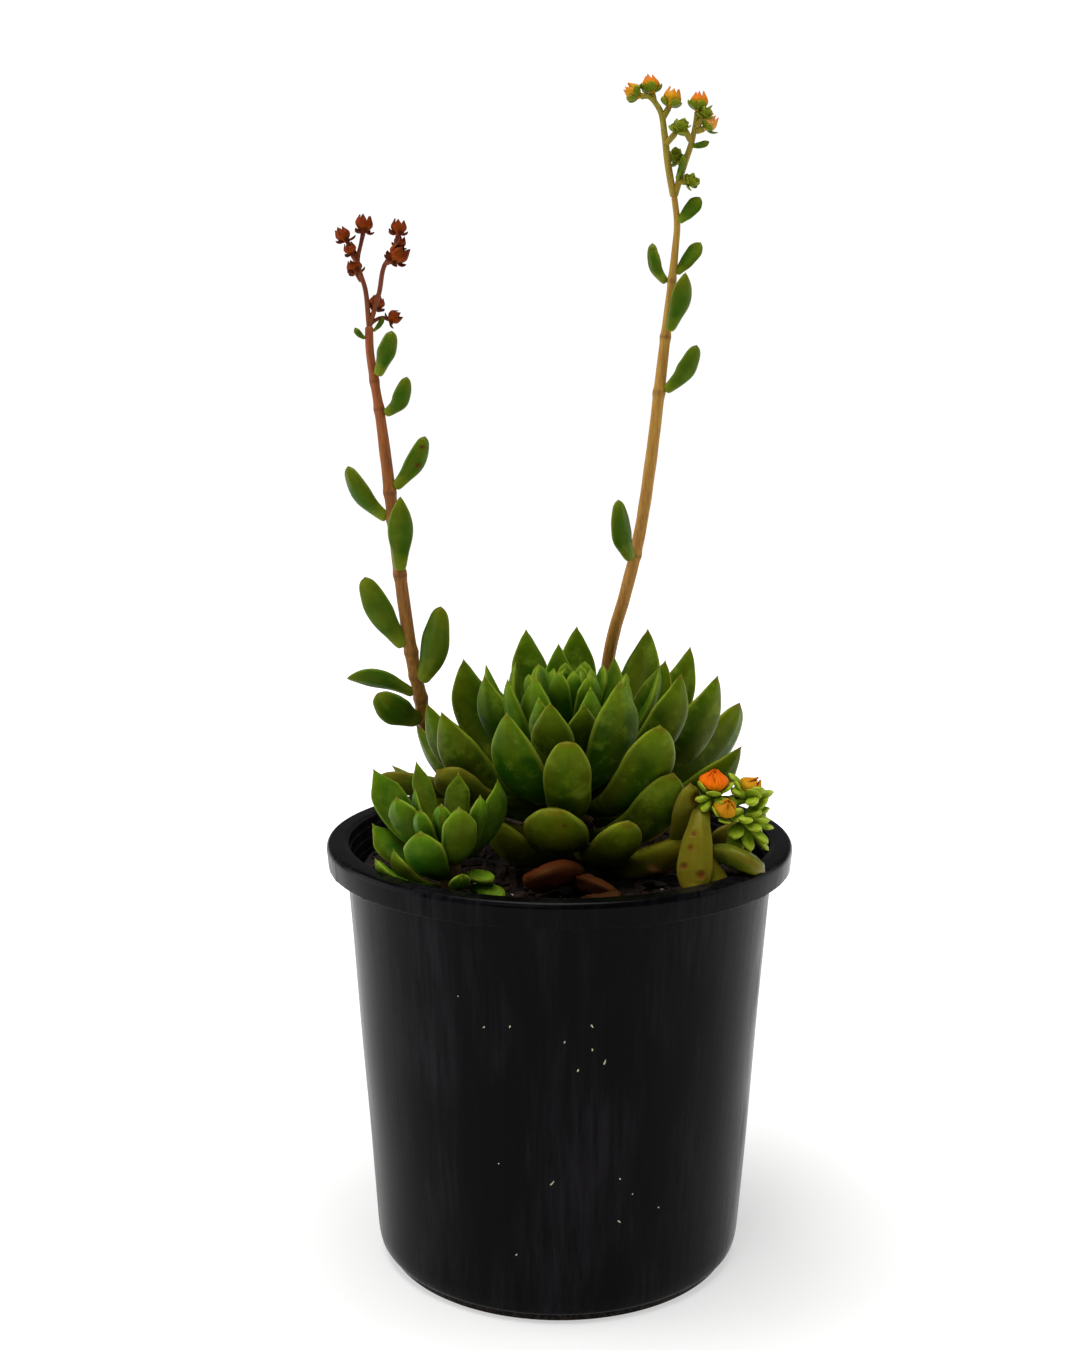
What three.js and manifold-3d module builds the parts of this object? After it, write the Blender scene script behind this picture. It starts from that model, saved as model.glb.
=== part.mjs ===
// A rosette succulent in a black nursery pot, in millimetres, +Z up.
// The origin is the centre of the pot's underside. The tall flower stalks stand left (-X) and right (+X),
// and the small offset rosette sits at the front left (-X, -Y).
import * as THREE from "three";
import { mergeVertices } from "three/addons/utils/BufferGeometryUtils.js";
import Module from "manifold-3d";

const wasm = await Module();
wasm.setup();

const CLEARANCE = 0.3; // gap kept between any two pieces that touch

// Pot: a thin moulded cone frustum with a hollow lip, three inner ledges and a foot ring.
const RIM_DIAMETER = 140;
const POT_HEIGHT = 130;
const BASE_DIAMETER = 111.5;
const WALL = 1.3;
const LIP_WIDTH = 6.8; // from the rim's outside edge to the bore
const LIP_DROP = 7.4; // height of the skirt that hangs from the rim
const SKIRT_WALL = 1.5;
const SKIRT_TAPER = 0.6; // how far the skirt leans in at its lower edge
const LEDGE_COUNT = 3;
const LEDGE_HEIGHT = 3.2;
const LEDGE_STEP = 0.5;
const FOOT_HEIGHT = 3;
const FOOT_INSET = 2.6; // how far the foot ring stands in from the lower corner
const FOOT_WIDTH = 4;
const FOOT_DRAFT = 0.4; // how much narrower each side of the foot ring is at its edge
const FOOT_RECESS = 0.6; // the underside stands this much below the lower corner
const FLOOR_THICKNESS = 2;
const DRAIN_COUNT = 8;
const DRAIN_DIAMETER = 9;
const DRAIN_MARGIN = 4.5; // between the foot ring and a drain's edge
const RIM_ROUND = 1.1; // rounding of the rim's outside edge
const BORE_ROUND = 0.8;
const CORNER_ROUND = 2.4; // rounding of the lower corner
const INSIDE_ROUND = 2; // fillet between the wall and the floor
const POT_SEGMENTS = 48;

// Potting mix and roots
const SOIL_DROP = 9; // from the rim down to the mix
const SOIL_RELIEF = 0.8; // how far the top of the mix rises and falls
const SOIL_SEGMENTS = 40;
const ROOT_DEPTH = 12; // how deep each plant stem stands in the mix

// Main rosette
const CROWN = { x: 4, y: 2 }; // stem centre, from the pot's axis
const STEM_RADIUS = 6.2;
const STEM_TOP_RADIUS = 3.6;
const STEM_HEIGHT = 33;
const STEM_SIDES = 16;
const GOLDEN_ANGLE = 137.5;
const LEAF_THICKNESS = 5.6;
const LEAF_STANDOFF = 1; // from the stem to a leaf's foot, before thicker leaves push it further off

// Youngest leaves: the first one's sizes, and what each later one gains
const BUD_LEAVES = 14;
const BUD_GAP = 2; // from the stem's top to the core that carries the youngest leaves
const BUD_CORE_RADIUS = 3;
const YOUNG_LEAF = { lean: 6, length: 15, width: 4, thickness: 2.4, bow: 1 };
const YOUNG_LEAF_GAIN = { lean: 2.2, length: 1.25, width: 0.5, thickness: 0.12, bow: 0.1 };
const YOUNG_LEAF_FOOT = { reach: 1.2, rise: 2.5 };

// The tables of plant points hold for this leaf thickness and this reach from the pot's axis. Thicker leaves
// lift everything in the plants by the same share, and the plants are scaled to fit the bore.
const DRAWN_THICKNESS = 5.6;
const DRAWN_REACH = 61;
const LEAF_CLEARANCE = 2.2; // between the widest leaf and the bore

// Flower stalks
const STALK_FOOT_RADIUS = 2.2;
const STALK_TOP_RADIUS = 1.6;
const STALK_SIDES = 8;
const PEDICEL_FOOT_RADIUS = 0.91;
const PEDICEL_RADIUS = 0.7;
const PEDICEL_SIDES = 5;
const STALK_LEAF_THICKNESS = 3.2;

const SOIL_TOP = POT_HEIGHT - SOIL_DROP;
const FLOOR_UNDERSIDE = FOOT_HEIGHT - FOOT_RECESS;
const FLOOR_TOP = FLOOR_UNDERSIDE + FLOOR_THICKNESS;
const RIM_RADIUS = RIM_DIAMETER / 2;
const BASE_RADIUS = BASE_DIAMETER / 2;
const BORE_RADIUS = RIM_RADIUS - LIP_WIDTH;
const PLANT_SCALE = (BORE_RADIUS - LEAF_CLEARANCE) / DRAWN_REACH;
const LIFT = LEAF_THICKNESS / DRAWN_THICKNESS;
const FOOT_STANDOFF = LEAF_STANDOFF + (LEAF_THICKNESS - DRAWN_THICKNESS) / 2;

const GREEN = { color: 0x4d7a1f, roughness: 0.45, metalness: 0 };
const BRIGHT_GREEN = { color: 0x5c9427, roughness: 0.42, metalness: 0 };
const STALK_GREEN = { color: 0x4a6d22, roughness: 0.5, metalness: 0 };
const BARK_BROWN = { color: 0x8a6a3c, roughness: 0.7, metalness: 0 };
const DRY_RED = { color: 0x6b2f1d, roughness: 0.85, metalness: 0 };
const BUD_ORANGE = { color: 0xd98a2b, roughness: 0.55, metalness: 0 };
const BLACK_PLASTIC = { color: 0x17171a, roughness: 0.35, metalness: 0 };
const DARK_MIX = { color: 0x241a12, roughness: 0.95, metalness: 0 };

// Leaf outlines: along = share of the length, breadth = share of the width, depth = share of the thickness.
const POINTED_LEAF = [
  { along: 0.03, breadth: 0.4, depth: 0.5 },
  { along: 0.2, breadth: 0.6, depth: 0.8 },
  { along: 0.42, breadth: 0.86, depth: 1.0 },
  { along: 0.64, breadth: 1.0, depth: 0.95 },
  { along: 0.82, breadth: 0.84, depth: 0.7 },
  { along: 0.94, breadth: 0.42, depth: 0.4 },
];
const BLUNT_LEAF = [
  { along: 0.03, breadth: 0.42, depth: 0.55 },
  { along: 0.2, breadth: 0.62, depth: 0.8 },
  { along: 0.42, breadth: 0.88, depth: 1.0 },
  { along: 0.66, breadth: 1.0, depth: 1.0 },
  { along: 0.86, breadth: 0.9, depth: 0.8 },
  { along: 0.96, breadth: 0.56, depth: 0.5 },
];
const LEAF_SIDES = 8;
const UPPER_SHARE = 0.4; // share of a leaf's thickness above its centreline: the back is fuller

// Rosette leaves: tip = position from the stem's axis at the level of the mix, from = height of the leaf's
// foot on the stem, bow = how far the middle hangs below the straight line, all in mm. roll turns the faces
// about that line, in degrees, plump = share of the rosette's leaf thickness, blunt = a rounded tip.
const ROSETTE_LEAVES = [
  { name: "front_round", tip: [-6, -41, 27], from: 13, width: 18.5, bow: 6, plump: 1.4, blunt: true },
  { name: "front_low_left", tip: [-22, -29, 20], from: 5, width: 13, bow: 5, roll: 10, plump: 1.2,
    blunt: true },
  { name: "front_low_right", tip: [15, -40, 23], from: 6, width: 13, bow: 5, roll: -10, plump: 1.2,
    blunt: true },
  { name: "front_scarred", tip: [34, -29, 16], from: 4, width: 12, bow: 4, roll: -10, plump: 1.1,
    blunt: true },
  { name: "front_right_short", tip: [28, -33, 35], from: 10, width: 14, bow: 7, roll: -40, plump: 1.1,
    blunt: true },
  { name: "front_middle", tip: [-2, -39, 46], from: 17, width: 16, bow: 7.5, blunt: true },
  { name: "front_left", tip: [-19, -36, 53], from: 21, width: 15, bow: 8, roll: 10 },
  { name: "front_upper", tip: [-7, -31, 55], from: 26, width: 13, bow: 5, plump: 0.9 },
  { name: "front_inner", tip: [3, -24, 53], from: 31, width: 10, bow: 3, plump: 0.7 },
  { name: "front_tall", tip: [13, -30, 61], from: 24, width: 15, bow: 7 },
  { name: "front_right", tip: [24, -34, 49], from: 18, width: 15, bow: 7.5, roll: -30, blunt: true },
  { name: "right_front_upper", tip: [31, -19, 61], from: 26, width: 12, bow: 7, roll: -45, plump: 0.9 },
  { name: "right_upper", tip: [43, -5, 58], from: 21, width: 14, bow: 8, roll: -60, plump: 0.9 },
  { name: "right_broad", tip: [51, 9, 47], from: 14, width: 16, bow: 8, roll: -60, plump: 0.9, blunt: true },
  { name: "right_low", tip: [49, -16, 39], from: 13, width: 13, bow: 7, roll: -50, plump: 0.9 },
  { name: "right_tall", tip: [28, 4, 61], from: 30, width: 11, bow: 5, roll: 55, plump: 0.8 },
  { name: "right_back_upper", tip: [36, 11, 64], from: 24, width: 11.5, bow: 7, roll: 50, plump: 0.8 },
  { name: "back_right", tip: [24, 27, 67], from: 27, width: 14, bow: 7, roll: 10, plump: 0.9 },
  { name: "back", tip: [2, 32, 67], from: 26, width: 13, bow: 7, plump: 0.9 },
  { name: "back_left", tip: [-14, 26, 67], from: 28, width: 13, bow: 6, roll: -5, plump: 0.9 },
  { name: "left_upper", tip: [-33, 12, 60], from: 24, width: 14, bow: 8, roll: -50, plump: 0.9 },
  { name: "left_inner", tip: [-26, -11, 59], from: 28, width: 11, bow: 5, roll: 45, plump: 0.8 },
  { name: "left_front", tip: [-38, -20, 50], from: 18, width: 14, bow: 7.5, roll: 45, plump: 0.9 },
  { name: "left_middle", tip: [-43, -7, 50], from: 21, width: 13, bow: 8, roll: 55, plump: 0.8 },
  { name: "left_low", tip: [-47, 6, 41], from: 13, width: 13, bow: 6, roll: 50, plump: 0.9 },
  { name: "left_spreading", tip: [-55, 12, 27], from: 7, width: 13, bow: 4, roll: 45, plump: 0.9 },
];

// Offset rosette: tips from the offset's own stem at the level of the mix.
const OFFSET = { x: -31, y: -33, height: 14, radius: 3.6, topRadius: 2.4, leafThickness: 3.6 };
const OFFSET_LEAVES = [
  { name: "back_left", tip: [-24, 11, 36], from: 10, width: 12, bow: 2, roll: -55 },
  { name: "left", tip: [-16, -1, 30], from: 12, width: 12, bow: 2, roll: 60, blunt: true },
  { name: "left_low", tip: [-24, 7, 20], from: 6, width: 11, bow: 2, roll: -45 },
  { name: "front_left", tip: [-17, -3, 15], from: 3, width: 10, bow: 3, roll: 30 },
  { name: "front", tip: [-8, -17, 24], from: 7, width: 14, bow: 3, roll: 20, plump: 1.2, blunt: true },
  { name: "upright", tip: [3, -13, 30], from: 11, width: 12, bow: 4, plump: 1.1, blunt: true },
  { name: "slender", tip: [9, -7, 32], from: 12, width: 7, bow: 2, roll: -30, plump: 1.1, blunt: true },
  { name: "right", tip: [14, 1, 35], from: 11, width: 11, bow: 3, roll: -50 },
  { name: "back_slender", tip: [-11, 12, 38], from: 14, width: 7, bow: 1, roll: -45, plump: 0.8 },
  { name: "back", tip: [2, 9, 35], from: 14, width: 9, bow: 1, plump: 0.9 },
];

// Flower stalks: points from the pot's axis at the level of the mix, chosen along each stalk.
const LEFT_STALK = [
  [-3, 10, 11], [-18, 19, 16], [-32, 20, 25], [-40, 14, 37], [-42, 8, 50], [-44, 4, 62], [-46, 0, 80],
  [-49, -1, 107], [-52, -1, 134], [-55, 0, 155], [-55, 0, 161],
];
const RIGHT_STALK = [
  [9, 10, 10], [12, 21, 20], [14, 29, 34], [15, 33, 49], [17, 31, 64], [21, 26, 80], [25, 24, 98],
  [28, 21, 121], [31, 21, 148], [34, 21, 177], [35, 21, 192], [34, 21, 199],
];

// Stalk leaves: height = where the leaf joins its stalk above the mix, tip = position from the pot's axis
// at the level of the mix.
const LEFT_STALK_LEAVES = [
  { height: 42, tip: [-54, -2, 53], width: 10.5, bow: 1, roll: 60, blunt: true },
  { height: 52, tip: [-64, 7, 56], width: 8, bow: -2, roll: 60 },
  { height: 54, tip: [-35, -2, 79], width: 9.5, bow: 1, roll: -60, blunt: true },
  { height: 68, tip: [-57, -4, 88], width: 9, bow: 1, roll: 60, blunt: true },
  { height: 91, tip: [-46, -9, 112], width: 8, bow: 1 },
  { height: 105, tip: [-62, 2, 120], width: 7.5, bow: 1, roll: 70, blunt: true },
  { height: 115, tip: [-39, -4, 129], width: 6.5, bow: 1, roll: -60, blunt: true },
  { height: 134, tip: [-44, -4, 146], width: 5.5, bow: 0.5, roll: -60, blunt: true },
  { height: 148, tip: [-48, -6, 159], width: 6, bow: 0.5, roll: -40, blunt: true },
];
const RIGHT_STALK_LEAVES = [
  { height: 89, tip: [18, 16, 109], width: 7.5, bow: 1, roll: 60, blunt: true },
  { height: 142, tip: [41, 17, 155], width: 6.5, bow: 1, roll: -60, blunt: true },
  { height: 161, tip: [37, 12, 176], width: 7, bow: 1, roll: -20 },
  { height: 173, tip: [28, 24, 185], width: 5.5, bow: 0.5, roll: 60, blunt: true },
];

// Flower heads: each branch is a list of points from the pot's axis at the level of the mix, with the radius
// of the bud or seed head at its end.
const LEFT_HEAD_BRANCHES = [
  { points: [[-55, 0, 163], [-56, 0, 171], [-58, 0, 179], [-57, 1, 184], [-56, 1, 189]], head: 2.7 },
  { points: [[-58, 0, 178], [-59, 0, 182], [-62, 0, 186]], head: 2.3 },
  { points: [[-58, 0, 179], [-60, -1, 182]], head: 1.9 },
  { points: [[-57, 0, 173], [-59, 1, 177]], head: 2.4 },
  { points: [[-55, 0, 163], [-52, 0, 170], [-50, -1, 178], [-47, -1, 182], [-46, -1, 188]], head: 2.5 },
  { points: [[-50, -1, 178], [-46, -3, 180.5]], head: 3 },
  { points: [[-49, -1, 180], [-46, 1, 184]], head: 1.9 },
  { points: [[-55, 0, 163], [-53, 3, 167]], head: 2.3 },
  { points: [[-55, 0, 162.6], [-51, 2, 163], [-48, 2, 163]], head: 2.2 },
];
const RIGHT_HEAD_BRANCHES = [
  {
    points: [[34, 21, 201], [32, 21, 208], [31, 21, 216], [29, 21, 224], [26, 21, 227], [22, 21, 228]],
    head: 2.5,
  },
  { points: [[28, 21, 225], [27, 22, 230]], head: 2.7 },
  { points: [[30, 21, 220], [33, 21, 226]], head: 2.8 },
  { points: [[31, 21, 213], [35, 19, 218]], head: 2.6 },
  { points: [[34, 21, 201], [37, 21, 208], [39, 21, 214], [40, 21, 219], [41, 21, 225]], head: 2.7 },
  { points: [[40, 21, 217], [44, 20, 219]], head: 2.6 },
  { points: [[37, 21, 207], [35, 24, 210]], head: 2 },
  { points: [[35, 21, 203], [39, 19, 203]], head: 2.2 },
];
const SHORT_HEAD_FOOT = { x: 40, y: -30 };
const SHORT_HEAD_ROOT = 8; // how deep its foot stands in the mix
const SHORT_HEAD_BRANCHES = [
  { points: [[40, -30, -SHORT_HEAD_ROOT], [40, -30, 6], [43, -29, 16], [48, -28, 23]], head: 3.6 },
  { points: [[47, -28, 22], [44, -31, 31]], head: 3.8 },
  { points: [[48, -28, 23], [54, -28, 29]], head: 4 },
  { points: [[48, -28, 23], [48, -33, 25]], head: 3.2 },
];
const SHORT_HEAD_BRACTS = [[62, -26, 26], [60, -31, 19], [56, -32, 15], [51, -22, 35], [59, -22, 33]]; // tips
const BRACT_FOOT = [51, -27, 24];
const BRACT = { width: 5, thickness: 2.4, bow: 0.5, blunt: true };

// Points run along the sweep and each ring is a closed loop: the skin is closed with one point at each end.
function skinOf(start, rings, end) {
  const sides = rings[0].length;
  const positions = [start, ...rings.flat(), end].flatMap((point) => point.toArray());
  const last = rings.length * sides + 1;
  const at = (ring, side) => 1 + ring * sides + (side % sides);
  const index = [];
  for (let side = 0; side < sides; side++) {
    index.push(0, at(0, side + 1), at(0, side));
    index.push(last, at(rings.length - 1, side), at(rings.length - 1, side + 1));
    for (let ring = 0; ring < rings.length - 1; ring++) {
      index.push(at(ring, side), at(ring, side + 1), at(ring + 1, side));
      index.push(at(ring + 1, side), at(ring, side + 1), at(ring + 1, side + 1));
    }
  }
  const geometry = new THREE.BufferGeometry();
  geometry.setAttribute("position", new THREE.Float32BufferAttribute(positions, 3));
  geometry.setIndex(index);
  geometry.computeVertexNormals();
  return geometry;
}

// A fleshy leaf from foot to tip. Its middle hangs bow below the chord, and roll turns its faces about the
// chord, in degrees, from level across.
function leafGeometry(foot, tip, { width, thickness, bow, roll = 0, blunt = false }) {
  const outline = blunt ? BLUNT_LEAF : POINTED_LEAF;
  const chord = tip.clone().sub(foot);
  const across = new THREE.Vector3(-chord.y, chord.x, 0).normalize();
  const up = chord.clone().cross(across).normalize();
  across.applyAxisAngle(chord.clone().normalize(), THREE.MathUtils.degToRad(roll));
  const middle = foot.clone().lerp(tip, 0.5).addScaledVector(up, -2 * bow);
  const spine = new THREE.QuadraticBezierCurve3(foot, middle, tip);
  const rings = outline.map(({ along, breadth, depth }) => {
    const centre = spine.getPoint(along);
    const normal = spine.getTangent(along).cross(across).normalize();
    return Array.from({ length: LEAF_SIDES }, (_, side) => {
      const turn = (2 * Math.PI * side) / LEAF_SIDES;
      const rise = Math.sin(turn);
      const share = rise > 0 ? UPPER_SHARE : 1 - UPPER_SHARE;
      return centre
        .clone()
        .addScaledVector(across, (Math.cos(turn) * breadth * width) / 2)
        .addScaledVector(normal, rise * share * depth * thickness);
    });
  });
  return skinOf(foot, rings, tip);
}

// A round stem along points, its radius running evenly from one end to the other.
function stemGeometry(points, footRadius, topRadius, steps = 2 * points.length, sides = STALK_SIDES) {
  const curve = new THREE.CatmullRomCurve3(points);
  const frames = curve.computeFrenetFrames(steps);
  const spine = curve.getSpacedPoints(steps);
  const rings = spine.map((centre, step) => {
    const radius = THREE.MathUtils.lerp(footRadius, topRadius, step / steps);
    return Array.from({ length: sides }, (_, side) => {
      const turn = (2 * Math.PI * side) / sides;
      return centre
        .clone()
        .addScaledVector(frames.normals[step], radius * Math.cos(turn))
        .addScaledVector(frames.binormals[step], radius * Math.sin(turn));
    });
  });
  return skinOf(spine[0], rings, spine[steps]);
}

function solidOf(geometry) {
  const bare = geometry.clone();
  bare.deleteAttribute("normal");
  bare.deleteAttribute("uv");
  const merged = mergeVertices(bare, 1e-4);
  return new wasm.Manifold(
    new wasm.Mesh({
      numProp: 3,
      vertProperties: merged.attributes.position.array,
      triVerts: new Uint32Array(merged.index.array),
    }),
  );
}

function geometryOf(solid) {
  const { vertProperties, triVerts } = solid.getMesh();
  const geometry = new THREE.BufferGeometry();
  geometry.setAttribute("position", new THREE.BufferAttribute(vertProperties, 3));
  geometry.setIndex(new THREE.BufferAttribute(triVerts, 1));
  geometry.computeVertexNormals();
  return geometry;
}

const joined = (geometries) => geometryOf(geometries.map(solidOf).reduce((whole, piece) => whole.add(piece)));

function named(name, geometry, finish) {
  const mesh = new THREE.Mesh(geometry, new THREE.MeshStandardMaterial(finish));
  mesh.name = name;
  return mesh;
}

const plantPoint = ([x, y, z]) => new THREE.Vector3(x, y, z * LIFT);
const wallRadius = (z) =>
  THREE.MathUtils.lerp(BASE_RADIUS, BORE_RADIUS + WALL, (z - FOOT_HEIGHT) / (POT_HEIGHT - FOOT_HEIGHT));
const floorReach = wallRadius(FLOOR_TOP) - WALL - 0.7 * INSIDE_ROUND;

// Half the pot's section, from the axis under the floor, up the outside and back down the bore.
function potSection() {
  const ledges = [];
  for (let step = 0; step <= LEDGE_COUNT; step++) {
    const radius = BORE_RADIUS - step * LEDGE_STEP;
    const top = POT_HEIGHT - step * LEDGE_HEIGHT;
    if (step > 0) ledges.push([radius, top]);
    if (step < LEDGE_COUNT) ledges.push([radius, top - LEDGE_HEIGHT]);
  }
  const footOut = BASE_RADIUS - FOOT_INSET;
  const footIn = footOut - FOOT_WIDTH;
  const underLip = POT_HEIGHT - SKIRT_WALL;
  const skirtBottom = POT_HEIGHT - LIP_DROP;
  const skirtOut = RIM_RADIUS - SKIRT_TAPER;
  return [
    [0, FLOOR_UNDERSIDE],
    [footIn, FLOOR_UNDERSIDE],
    [footIn + FOOT_DRAFT, 0],
    [footOut - FOOT_DRAFT, 0],
    [footOut, FLOOR_UNDERSIDE],
    [BASE_RADIUS - CORNER_ROUND / 2, FOOT_HEIGHT],
    [BASE_RADIUS - CORNER_ROUND / 8, FOOT_HEIGHT + CORNER_ROUND / 3],
    [wallRadius(FOOT_HEIGHT + CORNER_ROUND), FOOT_HEIGHT + CORNER_ROUND],
    [wallRadius(underLip), underLip],
    [skirtOut - SKIRT_WALL, underLip],
    [skirtOut - SKIRT_WALL, skirtBottom],
    [skirtOut, skirtBottom],
    [RIM_RADIUS, POT_HEIGHT - 1.5 * RIM_ROUND],
    [RIM_RADIUS - RIM_ROUND / 4, POT_HEIGHT - RIM_ROUND / 2],
    [RIM_RADIUS - RIM_ROUND, POT_HEIGHT],
    [BORE_RADIUS + BORE_ROUND, POT_HEIGHT],
    [BORE_RADIUS, POT_HEIGHT - BORE_ROUND],
    ...ledges,
    [floorReach + INSIDE_ROUND, FLOOR_TOP + 1.5 * INSIDE_ROUND],
    [floorReach, FLOOR_TOP],
    [0, FLOOR_TOP],
  ];
}

function pot() {
  const section = potSection().map(([radius, z]) => new THREE.Vector2(radius, z));
  // The lathe turns about Y, so it is stood up to turn about Z.
  const shell = new THREE.LatheGeometry(section, POT_SEGMENTS).rotateX(Math.PI / 2);
  const radius = DRAIN_DIAMETER / 2;
  let solid = solidOf(shell);
  for (let hole = 0; hole < DRAIN_COUNT; hole++) {
    const turn = (2 * Math.PI * hole) / DRAIN_COUNT;
    const reach = BASE_RADIUS - FOOT_INSET - FOOT_WIDTH - DRAIN_MARGIN - radius;
    const drain = new THREE.CylinderGeometry(radius, radius, 4 * FLOOR_THICKNESS, 16);
    drain.rotateX(Math.PI / 2);
    drain.translate(reach * Math.cos(turn), reach * Math.sin(turn), FLOOR_TOP - FLOOR_THICKNESS / 2);
    solid = solid.subtract(solidOf(drain));
  }
  return named("pot", geometryOf(solid), BLACK_PLASTIC);
}

// The socket that a stem needs in the mix, with clearance all round and open at the top.
function stemSocket({ x, y }, radius) {
  const depth = ROOT_DEPTH * PLANT_SCALE + CLEARANCE;
  const reach = radius * PLANT_SCALE + CLEARANCE;
  const socket = new THREE.CylinderGeometry(reach, reach, 2 * depth, STEM_SIDES).rotateX(Math.PI / 2);
  return socket.translate(x * PLANT_SCALE, y * PLANT_SCALE, SOIL_TOP);
}

// The mix fills the pot from the floor to the level of the mix, with a socket for each stem.
function pottingMix() {
  const bottom = FLOOR_TOP + CLEARANCE;
  const top = BORE_RADIUS - LEDGE_COUNT * LEDGE_STEP - CLEARANCE;
  const foot = floorReach - CLEARANCE;
  const section = [
    [0, bottom],
    [foot - CLEARANCE, bottom],
    [foot + 0.6 * INSIDE_ROUND, bottom + 1.5 * INSIDE_ROUND],
    [top - SOIL_RELIEF, SOIL_TOP - 2 * SOIL_RELIEF],
    [top - 4 * SOIL_RELIEF, SOIL_TOP - SOIL_RELIEF],
    [top * 0.8, SOIL_TOP + SOIL_RELIEF],
    [top * 0.45, SOIL_TOP],
    [0, SOIL_TOP + SOIL_RELIEF / 2],
  ].map(([radius, z]) => new THREE.Vector2(radius, z));
  const sockets = [
    stemSocket(CROWN, STEM_RADIUS),
    stemSocket(OFFSET, OFFSET.radius),
    stemSocket(SHORT_HEAD_FOOT, STALK_FOOT_RADIUS),
  ];
  const fill = solidOf(new THREE.LatheGeometry(section, SOIL_SEGMENTS).rotateX(Math.PI / 2));
  const solid = sockets.reduce((rest, socket) => rest.subtract(solidOf(socket)), fill);
  return named("potting_mix", geometryOf(solid), DARK_MIX);
}

// An upright plant stem, from its root in the mix to a rounded top.
function plantStem(name, { x, y, height, radius, topRadius }, finish) {
  const top = height * LIFT;
  const section = [
    [0, -ROOT_DEPTH],
    [0.6 * radius, -ROOT_DEPTH],
    [radius, -ROOT_DEPTH / 2],
    [radius, 0],
    [(radius + topRadius) / 2, top / 2],
    [topRadius, top - 0.3 * topRadius],
    [0.6 * topRadius, top],
    [0, top],
  ].map(([reach, z]) => new THREE.Vector2(reach, z));
  const stem = named(name, new THREE.LatheGeometry(section, STEM_SIDES).rotateX(Math.PI / 2), finish);
  stem.position.set(x, y, 0);
  return stem;
}

const stemRadiusAt = ({ height, radius, topRadius }, z) =>
  THREE.MathUtils.lerp(radius, topRadius, THREE.MathUtils.clamp(z / height, 0, 1));

// One leaf of a rosette: its foot is on the stem's surface, on the side that its tip points to.
function rosetteLeaf({ name, tip, from, plump = 1, ...shape }, stem, prefix, finish) {
  const heading = Math.atan2(tip[1], tip[0]);
  const reach = stemRadiusAt(stem, from) + FOOT_STANDOFF;
  const foot = plantPoint([reach * Math.cos(heading), reach * Math.sin(heading), from]);
  const thickness = stem.leafThickness * plump;
  const leaf = named(prefix + name, leafGeometry(foot, plantPoint(tip), { ...shape, thickness }), finish);
  leaf.position.set(stem.x, stem.y, 0);
  return leaf;
}

// The youngest leaves: each a golden angle on from the last, longer and leaning further out.
function crownBud(stem) {
  const pieces = [new THREE.SphereGeometry(BUD_CORE_RADIUS, 12, 8).translate(0, 0, BUD_CORE_RADIUS)];
  for (let age = 0; age < BUD_LEAVES; age++) {
    const size = {};
    for (const key in YOUNG_LEAF) size[key] = YOUNG_LEAF[key] + age * YOUNG_LEAF_GAIN[key];
    const heading = THREE.MathUtils.degToRad(age * GOLDEN_ANGLE);
    const lean = THREE.MathUtils.degToRad(size.lean);
    const outward = new THREE.Vector3(Math.cos(heading), Math.sin(heading), 0);
    const foot = outward.clone().multiplyScalar(YOUNG_LEAF_FOOT.reach).setZ(YOUNG_LEAF_FOOT.rise);
    const tip = foot.clone().addScaledVector(outward, size.length * Math.sin(lean));
    tip.z += size.length * Math.cos(lean);
    pieces.push(leafGeometry(foot, tip, size));
  }
  const bud = named("crown_bud", joined(pieces), GREEN);
  bud.position.set(stem.x, stem.y, (stem.height + BUD_GAP) * LIFT);
  return bud;
}

// The point of a rising stalk at a height above the mix, before any lift.
function pointAtHeight(curve, height) {
  let low = 0;
  let high = 1;
  for (let halving = 0; halving < 24; halving++) {
    const middle = (low + high) / 2;
    if (curve.getPoint(middle).z < height * LIFT) low = middle;
    else high = middle;
  }
  return curve.getPoint(low);
}

// One leaf of a flower stalk: its foot is beside the stalk, on the side that its tip points to.
function stalkLeaf(name, { height, tip, ...shape }, curve) {
  const end = plantPoint(tip);
  const joint = pointAtHeight(curve, height);
  const outward = end.clone().sub(joint).setZ(0).normalize();
  const foot = joint.addScaledVector(outward, STALK_FOOT_RADIUS + LEAF_STANDOFF);
  return named(name, leafGeometry(foot, end, { ...shape, thickness: STALK_LEAF_THICKNESS }), STALK_GREEN);
}

// A branched head: a pedicel along each branch, with a bud or a seed head at its end.
function flowerHead(name, branches, extra, finish) {
  const pieces = branches.flatMap(({ points, head }) => {
    const path = points.map(plantPoint);
    const bud = new THREE.SphereGeometry(head, 7, 5).translate(...path[path.length - 1]);
    return [stemGeometry(path, PEDICEL_FOOT_RADIUS, PEDICEL_RADIUS, path.length + 2, PEDICEL_SIDES), bud];
  });
  return named(name, joined([...pieces, ...extra]), finish);
}

const MAIN_STEM = {
  ...CROWN,
  height: STEM_HEIGHT,
  radius: STEM_RADIUS,
  topRadius: STEM_TOP_RADIUS,
  leafThickness: LEAF_THICKNESS,
};

const plant = new THREE.Group();
plant.position.z = SOIL_TOP;
plant.scale.setScalar(PLANT_SCALE);
plant.add(plantStem("main_stem", MAIN_STEM, BARK_BROWN));
plant.add(crownBud(MAIN_STEM));
for (const row of ROSETTE_LEAVES) plant.add(rosetteLeaf(row, MAIN_STEM, "leaf_", GREEN));

plant.add(plantStem("offset_stem", OFFSET, BARK_BROWN));
for (const row of OFFSET_LEAVES) plant.add(rosetteLeaf(row, OFFSET, "offset_leaf_", BRIGHT_GREEN));

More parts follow.
